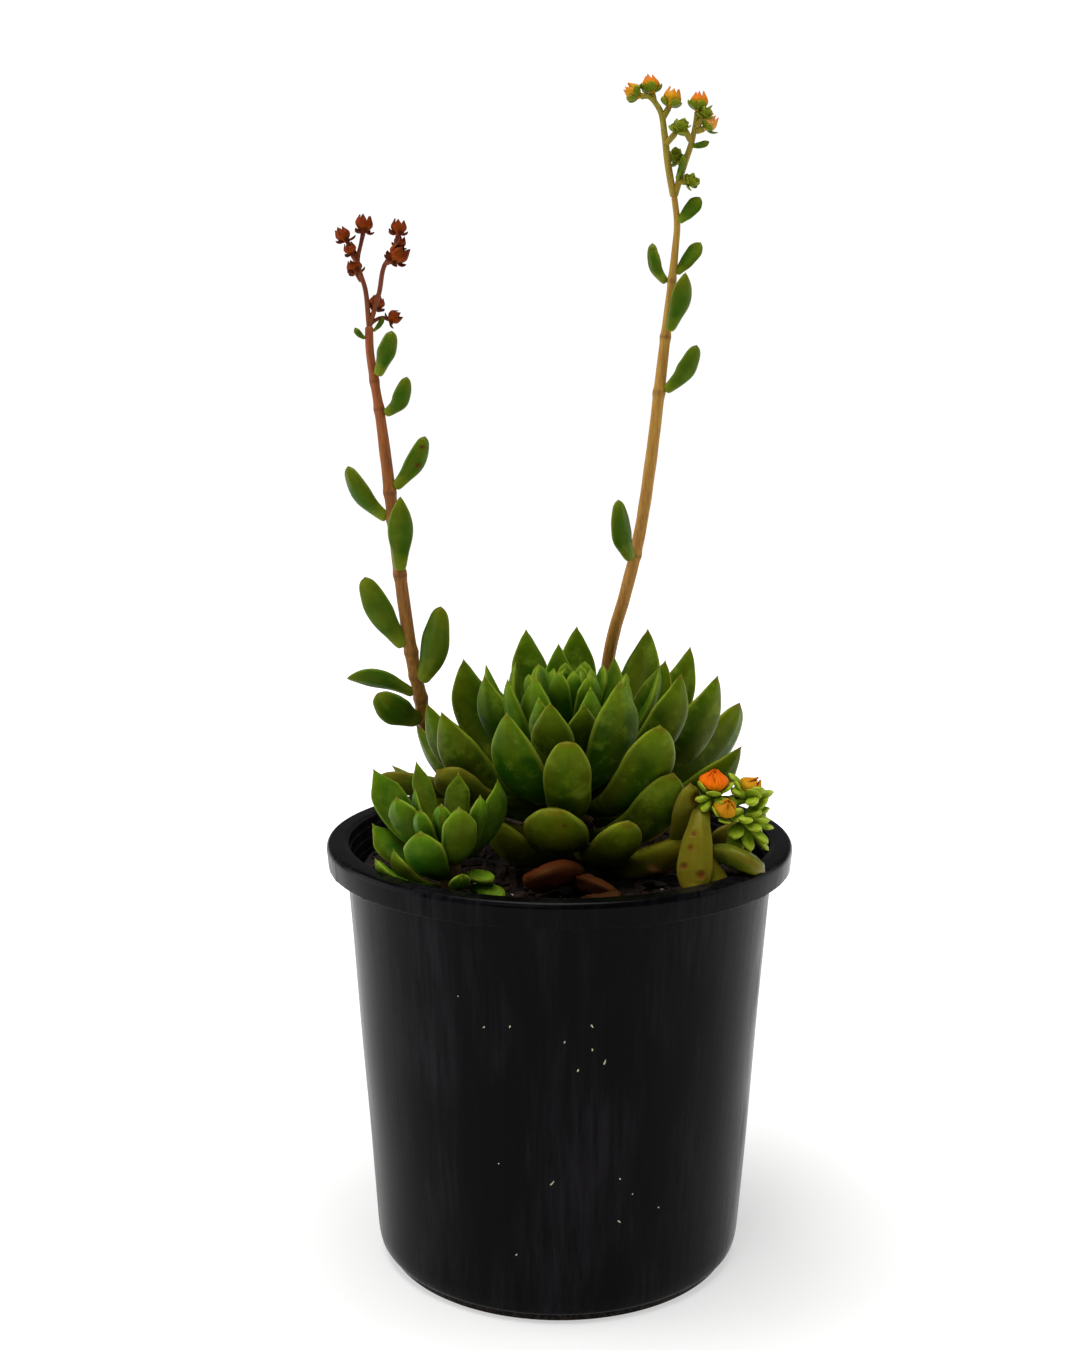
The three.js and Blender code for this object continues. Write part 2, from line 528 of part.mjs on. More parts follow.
for (const [side, points, leaves] of [
  ["left", LEFT_STALK, LEFT_STALK_LEAVES],
  ["right", RIGHT_STALK, RIGHT_STALK_LEAVES],
]) {
  const path = points.map(plantPoint);
  const curve = new THREE.CatmullRomCurve3(path);
  const stalk = stemGeometry(path, STALK_FOOT_RADIUS, STALK_TOP_RADIUS);
  plant.add(named(`${side}_flower_stalk`, stalk, BARK_BROWN));
  leaves.forEach((row, index) => plant.add(stalkLeaf(`${side}_stalk_leaf_${index + 1}`, row, curve)));
}
plant.add(flowerHead("left_seed_head", LEFT_HEAD_BRANCHES, [], DRY_RED));
plant.add(flowerHead("right_flower_head", RIGHT_HEAD_BRANCHES, [], BUD_ORANGE));
const bracts = SHORT_HEAD_BRACTS.map((tip) => leafGeometry(plantPoint(BRACT_FOOT), plantPoint(tip), BRACT));
plant.add(flowerHead("short_flower_head", SHORT_HEAD_BRANCHES, bracts, BUD_ORANGE));

const pottedSucculent = new THREE.Group();
pottedSucculent.add(pot(), pottingMix(), plant);

export default pottedSucculent;
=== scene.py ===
"""A rosette succulent in a black nursery pot, as it looks.

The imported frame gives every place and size. Each class below is one sub-assembly: it turns the plain
solids of the frame into fine surfaces and dresses them. Lengths are metres; a name ending in _mm, and
every table of points, is in millimetres.
"""

import logging
import math
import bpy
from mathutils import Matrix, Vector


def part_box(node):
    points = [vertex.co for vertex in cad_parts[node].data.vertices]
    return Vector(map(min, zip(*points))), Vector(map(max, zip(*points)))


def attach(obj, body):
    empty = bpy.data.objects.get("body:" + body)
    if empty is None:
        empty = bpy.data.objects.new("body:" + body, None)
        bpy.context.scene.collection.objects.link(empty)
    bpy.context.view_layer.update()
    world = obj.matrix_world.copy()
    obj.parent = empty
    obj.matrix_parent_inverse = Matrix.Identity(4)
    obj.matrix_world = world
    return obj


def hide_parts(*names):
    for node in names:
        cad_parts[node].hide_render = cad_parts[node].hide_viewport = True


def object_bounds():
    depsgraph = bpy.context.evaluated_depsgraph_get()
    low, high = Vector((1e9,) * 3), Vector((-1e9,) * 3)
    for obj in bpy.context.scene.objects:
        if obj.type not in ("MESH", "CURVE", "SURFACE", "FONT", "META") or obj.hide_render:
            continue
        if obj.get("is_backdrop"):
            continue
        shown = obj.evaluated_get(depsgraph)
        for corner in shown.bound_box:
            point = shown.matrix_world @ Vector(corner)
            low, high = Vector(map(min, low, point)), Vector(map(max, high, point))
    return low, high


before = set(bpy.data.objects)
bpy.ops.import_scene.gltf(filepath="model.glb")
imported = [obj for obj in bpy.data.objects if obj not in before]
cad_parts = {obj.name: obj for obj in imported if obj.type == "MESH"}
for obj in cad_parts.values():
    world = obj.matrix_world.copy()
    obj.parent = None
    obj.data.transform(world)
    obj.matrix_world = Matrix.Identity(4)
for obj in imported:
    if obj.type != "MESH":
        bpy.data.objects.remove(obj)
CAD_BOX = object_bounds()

import zlib
from collections.abc import Mapping, Sequence
from dataclasses import dataclass, field, replace
from enum import Enum

import bpy
import numpy as np

log = logging.getLogger("succulent")

Array = np.ndarray
MM = 0.001
GOLDEN_ANGLE = math.radians(137.5)
UP = np.array([0.0, 0.0, 1.0])


class Slot(Enum):
    """The record's material slots."""

    PLASTIC = "black_plastic"
    MIX = "potting_mix"
    LEAF = "leaf"
    YOUNG = "young_leaf"
    STALK_LEAF = "stalk_leaf"
    STALK = "stalk"
    DRIED = "dried_flower"
    BUD = "flower_bud"


# ---------------------------------------------------------------------------------------------------
# Finishes
# ---------------------------------------------------------------------------------------------------


def linear(hex_colour: str) -> tuple[float, float, float, float]:
    """Turns an sRGB hex colour into the linear values that a shader socket takes.

    Args:
        hex_colour: A colour such as "#4d7a1f".

    Returns:
        Linear red, green and blue, with an alpha of 1.
    """
    shares = [int(hex_colour[at : at + 2], 16) / 255 for at in (1, 3, 5)]
    red, green, blue = (c / 12.92 if c <= 0.04045 else ((c + 0.055) / 1.055) ** 2.4 for c in shares)
    return red, green, blue, 1.0


def per(size_mm: float) -> float:
    """Returns the texture scale that makes one feature of a pattern size_mm across."""
    return 1 / (size_mm * MM)


class Graph:
    """The node tree of one material."""

    def __init__(self, name: str) -> None:
        """Starts an empty tree.

        Args:
            name: The material's name.
        """
        self.material = bpy.data.materials.new(name)
        self.material.use_nodes = True
        self.tree = self.material.node_tree
        self.tree.nodes.clear()

    def add(
        self,
        kind: str,
        inputs: Mapping[str, object] | None = None,
        stops: Sequence[tuple[float, str]] | None = None,
        **settings: object,
    ) -> bpy.types.Node:
        """Adds one node with its settings and links.

        Args:
            kind: The node's Blender type.
            inputs: Socket names, each with a value, a socket or a node whose first output is linked.
            stops: For a colour ramp, positions and hex colours.
            **settings: Properties set on the node itself.

        Returns:
            The new node.
        """
        node = self.tree.nodes.new(kind)
        for key, value in settings.items():
            setattr(node, key, value)
        for key, value in (inputs or {}).items():
            source = value.outputs[0] if isinstance(value, bpy.types.Node) else value
            if isinstance(source, bpy.types.NodeSocket):
                self.tree.links.new(source, node.inputs[key])
            else:
                node.inputs[key].default_value = source
        if stops:
            ramp = node.color_ramp.elements
            while len(ramp) < len(stops):
                ramp.new(0.5)
            for element, (position, colour) in zip(ramp, stops):
                element.position = position
                element.color = linear(colour)
        return node

    def noise(
        self, place: object, size_mm: float, detail: float, roughness: float = 0.5
    ) -> bpy.types.NodeSocket:
        """Adds noise with clouds size_mm across and returns its value."""
        look = {"Vector": place, "Scale": per(size_mm), "Detail": detail, "Roughness": roughness}
        return self.add("ShaderNodeTexNoise", look).outputs["Fac"]

    def spread(
        self, value: object, source: tuple[float, float], target: tuple[float, float], **settings: object
    ) -> bpy.types.Node:
        """Carries a value from one range to another, and holds it there at both ends."""
        ends = zip(("From Min", "From Max", "To Min", "To Max"), (*source, *target))
        return self.add("ShaderNodeMapRange", {"Value": value, **dict(ends)}, **settings)

    def mix(self, share: object, one: object, other: object, **settings: object) -> bpy.types.Node:
        """Mixes two colours, each a node, a socket or a hex colour."""
        pair = [linear(colour) if isinstance(colour, str) else colour for colour in (one, other)]
        return self.add("ShaderNodeMixRGB", {"Fac": share, "Color1": pair[0], "Color2": pair[1]}, **settings)

    def finish(self, shader: bpy.types.Node) -> bpy.types.Material:
        """Links the shader to the output and returns the material."""
        self.add("ShaderNodeOutputMaterial", {"Surface": shader})
        return self.material


@dataclass(frozen=True)
class LeafFinish:
    """Living succulent leaf: a thick waxy skin over wet green flesh.

    The wax gives a broad soft gloss, the flesh lets a little light through, and the margins and tips,
    where the flesh is thin, are paler and yellower than the back. Old leaves turn olive. The foot is painted
    darker, as painted shade from the leaves above.
    """

    name: str
    # Painted shade at the leaf's foot, where the leaves above shadow it; a finish may set its own paler foot
    # here instead.
    shade: str = "#0f2405"
    body: str = "#1a3d04"
    tip: str = "#536d0a"
    margin: str = "#848f26"
    aged: str = "#6a5f0f"
    wax: str = "#7b9128"
    scar: str = "#5a2f0e"
    roughness: float = 0.33
    wax_share: float = 0.34
    burn: str = "#5c3512"

    def material(self) -> bpy.types.Material:
        """Builds the material.

        Returns:
            A material that reads the leaf's own "growth" and "mark" attributes and Object coordinates.
        """
        graph = Graph(self.name)
        place = graph.add("ShaderNodeTexCoord").outputs["Object"]
        growth = graph.add("ShaderNodeAttribute", attribute_name="growth").outputs["Vector"]
        mark = graph.add("ShaderNodeAttribute", attribute_name="mark").outputs["Fac"]
        split = graph.add("ShaderNodeSeparateXYZ", {"Vector": growth})
        along, margin, age = split.outputs["X"], split.outputs["Y"], split.outputs["Z"]

        # Flesh from painted shade at the foot, where the leaves above shadow it, to the thin tip, clouded at
        # 5 mm, the size of the real mottling.
        cloud = graph.noise(place, 5, 6.0)
        shift = graph.add("ShaderNodeMath", {0: cloud, 1: 0.5, 2: -0.25}, operation="MULTIPLY_ADD")
        reach = graph.add("ShaderNodeMath", {0: along, 1: shift}, operation="ADD", use_clamp=True)
        flesh = graph.add(
            "ShaderNodeValToRGB",
            {"Fac": reach},
            stops=[(0.0, self.shade), (0.36, self.body), (0.66, self.body), (1.0, self.tip)],
        )
        rim = graph.spread(margin, (0.86, 1.0), (0.0, 0.8), interpolation_type="SMOOTHSTEP")
        rim_up = graph.add("ShaderNodeMath", {0: rim, 1: along}, operation="MULTIPLY")
        edged = graph.mix(rim_up, flesh, self.margin)
        end = graph.spread(along, (0.965, 1.0), (0.0, 0.7))
        tipped = graph.mix(end, edged, self.burn)
        olive = graph.mix(age, tipped, self.aged)
        # Wax rubbed off in patches about 9 mm across, with 1.2 mm flecks inside them.
        patch = graph.noise(place, 9, 9.0, 0.7)
        film = graph.spread(patch, (0.52, 0.63), (0.0, self.wax_share))
        waxed = graph.mix(film, olive, self.wax)
        # Pores and specks 0.9 mm apart, darker than the skin.
        pores = graph.add("ShaderNodeTexVoronoi", {"Vector": place, "Scale": per(0.9)})
        pore = graph.spread(pores.outputs["Distance"], (0.05, 0.3), (0.86, 1.0))
        speckled = graph.mix(1.0, waxed, pore, blend_type="MULTIPLY")
        scarred = graph.mix(mark, speckled, self.scar)
        gloss = graph.spread(patch, (0.35, 0.7), (self.roughness - 0.07, self.roughness + 0.12))
        # Skin cells are too fine to show, so they are drawn at 0.7 mm.
        cells = graph.noise(place, 0.7, 4.0)
        bump = graph.add("ShaderNodeBump", {"Strength": 0.22, "Distance": 0.25 * MM, "Height": cells})
        shader = graph.add(
            "ShaderNodeBsdfPrincipled",
            {
                "Base Color": scarred,
                "Roughness": gloss,
                "Normal": bump,
                "IOR": 1.44,
                "Subsurface Weight": 0.08,
                "Subsurface Radius": (0.6, 1.0, 0.1),
                "Subsurface Scale": 1.6 * MM,
                "Specular IOR Level": 0.15,
                "Specular Tint": (0.8, 1.0, 0.2, 1.0),
            },
        )
        return graph.finish(shader)


@dataclass(frozen=True)
class StalkFinish:
    """Woody flower stalk: a thin bark with long fibres, ringed by old leaf scars."""

    name: str
    low: str
    high: str
    fibre: str
    scar: str = "#4a2d16"

    def material(self) -> bpy.types.Material:
        """Builds the material.

        Returns:
            A material that reads the stalk's "growth" and "mark" attributes and Object coordinates.
        """
        graph = Graph(self.name)
        place = graph.add("ShaderNodeTexCoord").outputs["Object"]
        growth = graph.add("ShaderNodeAttribute", attribute_name="growth").outputs["Vector"]
        mark = graph.add("ShaderNodeAttribute", attribute_name="mark").outputs["Fac"]
        split = graph.add("ShaderNodeSeparateXYZ", {"Vector": growth})
        skin = graph.add(
            "ShaderNodeValToRGB", {"Fac": split.outputs["X"]}, stops=[(0.0, self.low), (1.0, self.high)]
        )
        # Fibres run up the stalk: 0.6 mm wide and ten times as long.
        drawn = graph.add("ShaderNodeMapping", {"Vector": place, "Scale": (1.0, 1.0, 0.1)})
        fibres = graph.noise(drawn, 0.6, 5.0, 0.6)
        share = graph.spread(fibres, (0.4, 0.7), (0.0, 0.7))
        streaked = graph.mix(share, skin, self.fibre)
        ringed = graph.mix(mark, streaked, self.scar)
        bump = graph.add("ShaderNodeBump", {"Strength": 0.5, "Distance": 0.2 * MM, "Height": fibres})
        shader = graph.add(
            "ShaderNodeBsdfPrincipled",
            {
                "Base Color": ringed,
                "Roughness": 0.56,
                "Normal": bump,
                "Subsurface Weight": 0.05,
                "Subsurface Radius": (1.0, 0.5, 0.2),
                "Subsurface Scale": 1.0 * MM,
                "Specular IOR Level": 0.2,
            },
        )
        return graph.finish(shader)


@dataclass(frozen=True)
class PetalFinish:
    """Petals, sepals and dried seed cases: thin tissue with veins from foot to tip."""

    name: str
    foot: str
    middle: str
    tip: str
    vein: str
    roughness: float = 0.5
    light_through: float = 0.08

    def material(self) -> bpy.types.Material:
        """Builds the material.

        Returns:
            A material that reads the petal's "growth" attribute and Object coordinates.
        """
        graph = Graph(self.name)
        place = graph.add("ShaderNodeTexCoord").outputs["Object"]
        growth = graph.add("ShaderNodeAttribute", attribute_name="growth").outputs["Vector"]
        split = graph.add("ShaderNodeSeparateXYZ", {"Vector": growth})
        cloud = graph.noise(place, 1.6, 4.0)
        shift = graph.add("ShaderNodeMath", {0: cloud, 1: 0.5, 2: -0.25}, operation="MULTIPLY_ADD")
        reach = graph.add(
            "ShaderNodeMath", {0: split.outputs["X"], 1: shift}, operation="ADD", use_clamp=True
        )
        tissue = graph.add(
            "ShaderNodeValToRGB",
            {"Fac": reach},
            stops=[(0.0, self.foot), (0.5, self.middle), (1.0, self.tip)],
        )
        # Five veins a petal, a third of a millimetre wide on the largest bud.
        comb = graph.add("ShaderNodeMath", {0: split.outputs["Y"], 1: 15.0}, operation="MULTIPLY")
        wave = graph.add("ShaderNodeMath", {0: comb}, operation="COSINE")
        vein = graph.spread(wave, (0.7, 1.0), (0.0, 0.45))
        veined = graph.mix(vein, tissue, self.vein)
        toned = graph.mix(split.outputs["Z"], veined, self.vein)
        bump = graph.add("ShaderNodeBump", {"Strength": 0.3, "Distance": 0.15 * MM, "Height": cloud})
        shader = graph.add(
            "ShaderNodeBsdfPrincipled",
            {
                "Base Color": toned,
                "Roughness": self.roughness,
                "Normal": bump,
                "Subsurface Weight": self.light_through,
                "Subsurface Radius": (1.0, 0.5, 0.2),
                "Subsurface Scale": 0.8 * MM,
                "Specular IOR Level": 0.12,
                "Specular Tint": (1.0, 0.6, 0.15, 1.0),
            },
        )
        return graph.finish(shader)


@dataclass(frozen=True)
class PlasticFinish:
    """Moulded black polypropylene that has been handled: satin, with scuffs drawn up the wall,
    a grey film of dust in the scuffs and dirt at the foot.
    """

    name: str = "moulded_black_polypropylene"
    black: str = "#030304"
    film: str = "#2f2a30"
    dirt: str = "#352b22"
    roughness: float = 0.27
    dirt_top: float = 5.5 * MM

    def material(self) -> bpy.types.Material:
        """Builds the material.

        Returns:
            A material that reads Object coordinates.
        """
        graph = Graph(self.name)
        place = graph.add("ShaderNodeTexCoord").outputs["Object"]
        drawn = graph.add("ShaderNodeMapping", {"Vector": place, "Scale": (1.0, 1.0, 0.04)})
        # Scuffs 1.8 mm wide and twenty-five times as long, in clouds 16 mm across and 50 mm tall.
        scuffs = graph.noise(drawn, 1.8, 6.0, 0.6)
        long_clouds = graph.add("ShaderNodeMapping", {"Vector": place, "Scale": (1.0, 1.0, 0.3)})
        clouds = graph.noise(long_clouds, 16, 4.0)
        worn = graph.spread(clouds, (0.42, 0.66), (0.02, 0.4))
        scratch = graph.spread(scuffs, (0.34, 0.72), (0.0, 1.0))
        film = graph.add("ShaderNodeMath", {0: scratch, 1: worn}, operation="MULTIPLY")
        filmed = graph.mix(film, self.black, self.film)
        # Grit 1.1 mm across, thickest where the wall meets the foot.
        height = graph.add("ShaderNodeSeparateXYZ", {"Vector": place}).outputs["Z"]
        low = graph.spread(height, (0.0, self.dirt_top), (0.62, 0.3))
        grit = graph.noise(place, 1.1, 5.0)
        dusty = graph.add("ShaderNodeMath", {0: grit, 1: low}, operation="MULTIPLY")
        soiled = graph.spread(dusty, (0.24, 0.36), (0.0, 0.8))
        coloured = graph.mix(soiled, filmed, self.dirt)
        gloss = graph.spread(film, (0.0, 0.4), (self.roughness - 0.06, self.roughness + 0.26))
        bump = graph.add("ShaderNodeBump", {"Strength": 0.18, "Distance": 0.15 * MM, "Height": scuffs})
        shader = graph.add(
            "ShaderNodeBsdfPrincipled",
            {
                "Base Color": coloured,
                "Roughness": gloss,
                "Normal": bump,
                "IOR": 1.49,
                "Specular IOR Level": 0.05,
            },
        )
        return graph.finish(shader)


@dataclass(frozen=True)
class MixFinish:
    """Damp potting mix or bark chip: rough, porous and dark, each chip its own brown."""

    name: str
    dark: str
    light: str
    grain_mm: float = 1.5

    def material(self) -> bpy.types.Material:
        """Builds the material.

        Returns:
            A material that reads the piece's "growth" attribute and Object coordinates.
        """
        graph = Graph(self.name)
        place = graph.add("ShaderNodeTexCoord").outputs["Object"]
        growth = graph.add("ShaderNodeAttribute", attribute_name="growth").outputs["Vector"]
        tone = graph.add("ShaderNodeSeparateXYZ", {"Vector": growth}).outputs["Z"]
        grain = graph.noise(place, self.grain_mm, 6.0)
        mixed = graph.add("ShaderNodeMath", {0: grain, 1: tone}, operation="MULTIPLY")
        brown = graph.add(
            "ShaderNodeValToRGB", {"Fac": mixed}, stops=[(0.12, self.dark), (0.6, self.light)]
        )
        bump = graph.add("ShaderNodeBump", {"Strength": 0.8, "Distance": 0.5 * MM, "Height": grain})
        shader = graph.add(
            "ShaderNodeBsdfPrincipled",
            {"Base Color": brown, "Roughness": 0.88, "Normal": bump, "Specular IOR Level": 0.25},
        )
        return graph.finish(shader)


# ---------------------------------------------------------------------------------------------------
# Surfaces
# ---------------------------------------------------------------------------------------------------


def unit(vectors: Array) -> Array:
    """Returns the vectors at length 1."""
    return vectors / np.linalg.norm(vectors, axis=-1, keepdims=True)


def smooth_between(knots: Array, values: Array, at: Array) -> Array:
    """Runs a smooth curve through values: a cubic between each two knots, with their mean slopes.

    Args:
        knots: Rising positions, one for each value.
        values: Numbers or points.
        at: The positions wanted.

    Returns:
        The value at each position.
    """
    knots, values = np.asarray(knots, float), np.asarray(values, float)
    slopes = np.gradient(values, knots, axis=0)
    cell = np.clip(np.searchsorted(knots, at, side="right") - 1, 0, len(knots) - 2)
    width = knots[cell + 1] - knots[cell]
    step = (at - knots[cell]) / width
    if values.ndim > 1:
        width, step = width[:, None], step[:, None]
    rise = 3 * step**2 - 2 * step**3
    leave = (step**3 - 2 * step**2 + step) * width
    arrive = (step**3 - step**2) * width
    bent = leave * slopes[cell] + arrive * slopes[cell + 1]
    return (1 - rise) * values[cell] + rise * values[cell + 1] + bent


def ramp(values: Array, low: float, high: float) -> Array:
    """Returns 0 below low, 1 above high, and a smooth step between them."""
    share = np.clip((values - low) / (high - low), 0, 1)
    return share * share * (3 - 2 * share)


def ripples(rng: np.random.Generator, coordinates: Sequence[Array], waves: int, pitch: float) -> Array:
    """Adds up sine waves of random direction and phase.

    Args:
        rng: The source of the directions and phases.
        coordinates: Arrays that broadcast together, such as the place along and around a leaf.
        waves: How many waves are added.
        pitch: The steepest phase change per unit of a coordinate, in radians.

    Returns:
        The sum, roughly between -1 and 1.
    """
    total = 0.0
    for _ in range(waves):
        turns = rng.uniform(-pitch, pitch, len(coordinates))
        phase = rng.uniform(0, 2 * math.pi)
        total = total + np.sin(sum(k * c for k, c in zip(turns, coordinates)) + phase)
    return total / math.sqrt(waves)


@dataclass
class Skin:
    """A closed surface: points, four-sided faces, three-sided faces at the poles, and vertex marks."""

    points: Array
    quads: Array
    fans: Array
    marks: dict[str, Array] = field(default_factory=dict)

    @classmethod
    def closed(cls, rings: Array, start: Array, end: Array, **marks: Array) -> "Skin":
        """Closes a stack of rings with a pole at each end.

        Args:
            rings: Points as (station, side, axis), sides running anticlockwise seen from the end pole.
            start: The pole before the first ring.
            end: The pole after the last ring.
            **marks: Values as (station, side) or (station, side, axis).

        Returns:
            The surface, facing outwards.
        """
        stations, sides, _ = rings.shape
        here = np.arange(stations * sides).reshape(stations, sides)
        turned = np.roll(here, -1, axis=1)
        first, last = stations * sides, stations * sides + 1
        quads = np.stack([here[:-1], turned[:-1], turned[1:], here[1:]], -1).reshape(-1, 4)
        bottom = np.stack([np.full(sides, first), turned[0], here[0]], -1)
        top = np.stack([np.full(sides, last), here[-1], turned[-1]], -1)
        points = np.concatenate([rings.reshape(-1, 3), [start, end]])
        named = {}
        for name, values in marks.items():
            flat = values.reshape(stations * sides, *values.shape[2:])
            named[name] = np.concatenate([flat, [values[0].mean(0), values[-1].mean(0)]])
        return cls(points, quads, np.concatenate([bottom, top]), named)

    @classmethod
    def merged(cls, skins: Sequence["Skin"]) -> "Skin":
        """Puts several surfaces with the same marks into one."""
        starts = np.cumsum([0] + [len(skin.points) for skin in skins[:-1]])
        return cls(
            np.concatenate([skin.points for skin in skins]),
            np.concatenate([skin.quads + start for skin, start in zip(skins, starts)]),
            np.concatenate([skin.fans + start for skin, start in zip(skins, starts)]),
            {name: np.concatenate([skin.marks[name] for skin in skins]) for name in skins[0].marks},
        )

    def piece(
        self, name: str, material: bpy.types.Material, slot: Slot, *nodes: str, smooth: bool = True
    ) -> bpy.types.Object:
        """Makes the surface a piece that rides on the part's body.

        Args:
            name: The piece's name.
            material: Its finish.
            slot: The record's slot; not used.
            *nodes: The frame's nodes that it stands for.
            smooth: Whether its faces shade smoothly.

        Returns:
            The new object, at the origin, with its place in its mesh.
        """
        mesh = bpy.data.meshes.new(name)
        corners = np.concatenate([self.quads.ravel(), self.fans.ravel()]).astype(np.int32)
        totals = np.repeat([4, 3], [len(self.quads), len(self.fans)]).astype(np.int32)
        starts = (np.cumsum(totals) - totals).astype(np.int32)
        mesh.vertices.add(len(self.points))
        mesh.vertices.foreach_set("co", self.points.astype(np.float32).ravel())
        mesh.loops.add(len(corners))
        mesh.loops.foreach_set("vertex_index", corners)
        mesh.polygons.add(len(totals))
        mesh.polygons.foreach_set("loop_start", starts)
        mesh.polygons.foreach_set("loop_total", totals)
        mesh.polygons.foreach_set("use_smooth", np.full(len(totals), smooth))
        for mark, values in self.marks.items():
            vector = values.ndim > 1
            layer = mesh.attributes.new(mark, "FLOAT_VECTOR" if vector else "FLOAT", "POINT")
            layer.data.foreach_set("vector" if vector else "value", values.astype(np.float32).ravel())
        mesh.update(calc_edges=True)
        mesh.materials.append(material)
        made = bpy.data.objects.new(name, mesh)
        bpy.context.scene.collection.objects.link(made)
        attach(made, "root")
        if nodes:
            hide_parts(*nodes)
        log.info("%s: %d points, stands for %s", name, len(self.points), ", ".join(nodes) or "nothing")
        return made


def cage_of(node: str) -> tuple[Array, Array]:
    """Reads a leaf's or a stalk's solid back as the rings it was swept from.

    The two poles are the only points with eight neighbours, and a ring's number is its distance from
    the first pole, counted in edges.

    Args:
        node: The frame's node.

    Returns:
        The points, and for each its number of edges from one pole.
    """
    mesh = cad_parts[node].data
    places = np.empty(3 * len(mesh.vertices), np.float32)
    mesh.vertices.foreach_get("co", places)
    corners = np.empty(len(mesh.loops), np.int32)
    mesh.loops.foreach_get("vertex_index", corners)
    points, same = np.unique(np.round(places.reshape(-1, 3), 6), axis=0, return_inverse=True)
    triangles = same.ravel()[corners].reshape(-1, 3)
    touching = np.zeros((len(points), len(points)), bool)
    for one, other in ((0, 1), (1, 2), (2, 0)):
        touching[triangles[:, one], triangles[:, other]] = True
        touching[triangles[:, other], triangles[:, one]] = True
    poles = np.flatnonzero(touching.sum(1) == 8)
    steps = np.full(len(points), -1)
    front = np.zeros(len(points), bool)
    front[poles[0]] = True
    level = 0
    while front.any():
        steps[front] = level
        front = touching[front].any(0) & (steps < 0)
        level += 1
    return points.astype(float), steps


@dataclass(frozen=True)
class Outline:
    """A leaf's outline: shares of its length, breadth and thickness, and how round its tip is."""

    along: tuple[float, ...]
    breadth: tuple[float, ...]
    depth: tuple[float, ...]
    tip_power: float


POINTED = Outline(
    along=(0.03, 0.2, 0.42, 0.64, 0.82, 0.94),
    breadth=(0.4, 0.6, 0.86, 1.0, 0.84, 0.42),
    depth=(0.5, 0.8, 1.0, 0.95, 0.7, 0.4),
    tip_power=0.74,
)
BLUNT = Outline(
    along=(0.03, 0.2, 0.42, 0.66, 0.86, 0.96),
    breadth=(0.42, 0.62, 0.88, 1.0, 0.9, 0.56),
    depth=(0.55, 0.8, 1.0, 1.0, 0.8, 0.5),
    tip_power=0.56,
)


ROUND_TIP = 0.4  # tip_power of a leaf whose tip is a plain round


@dataclass(frozen=True)
class Scar:
    """A corky wound on a leaf: a pit with a raised rim.

    Attributes:
        along: Share of the leaf's length.
        across: Share of its half width, from -1 to 1.
        upper: Whether it is on the upper face.
        radius_mm: Its radius along the leaf.
        depth_mm: How deep it is.
    """

    along: float
    across: float
    upper: bool
    radius_mm: float
    depth_mm: float = 0.35


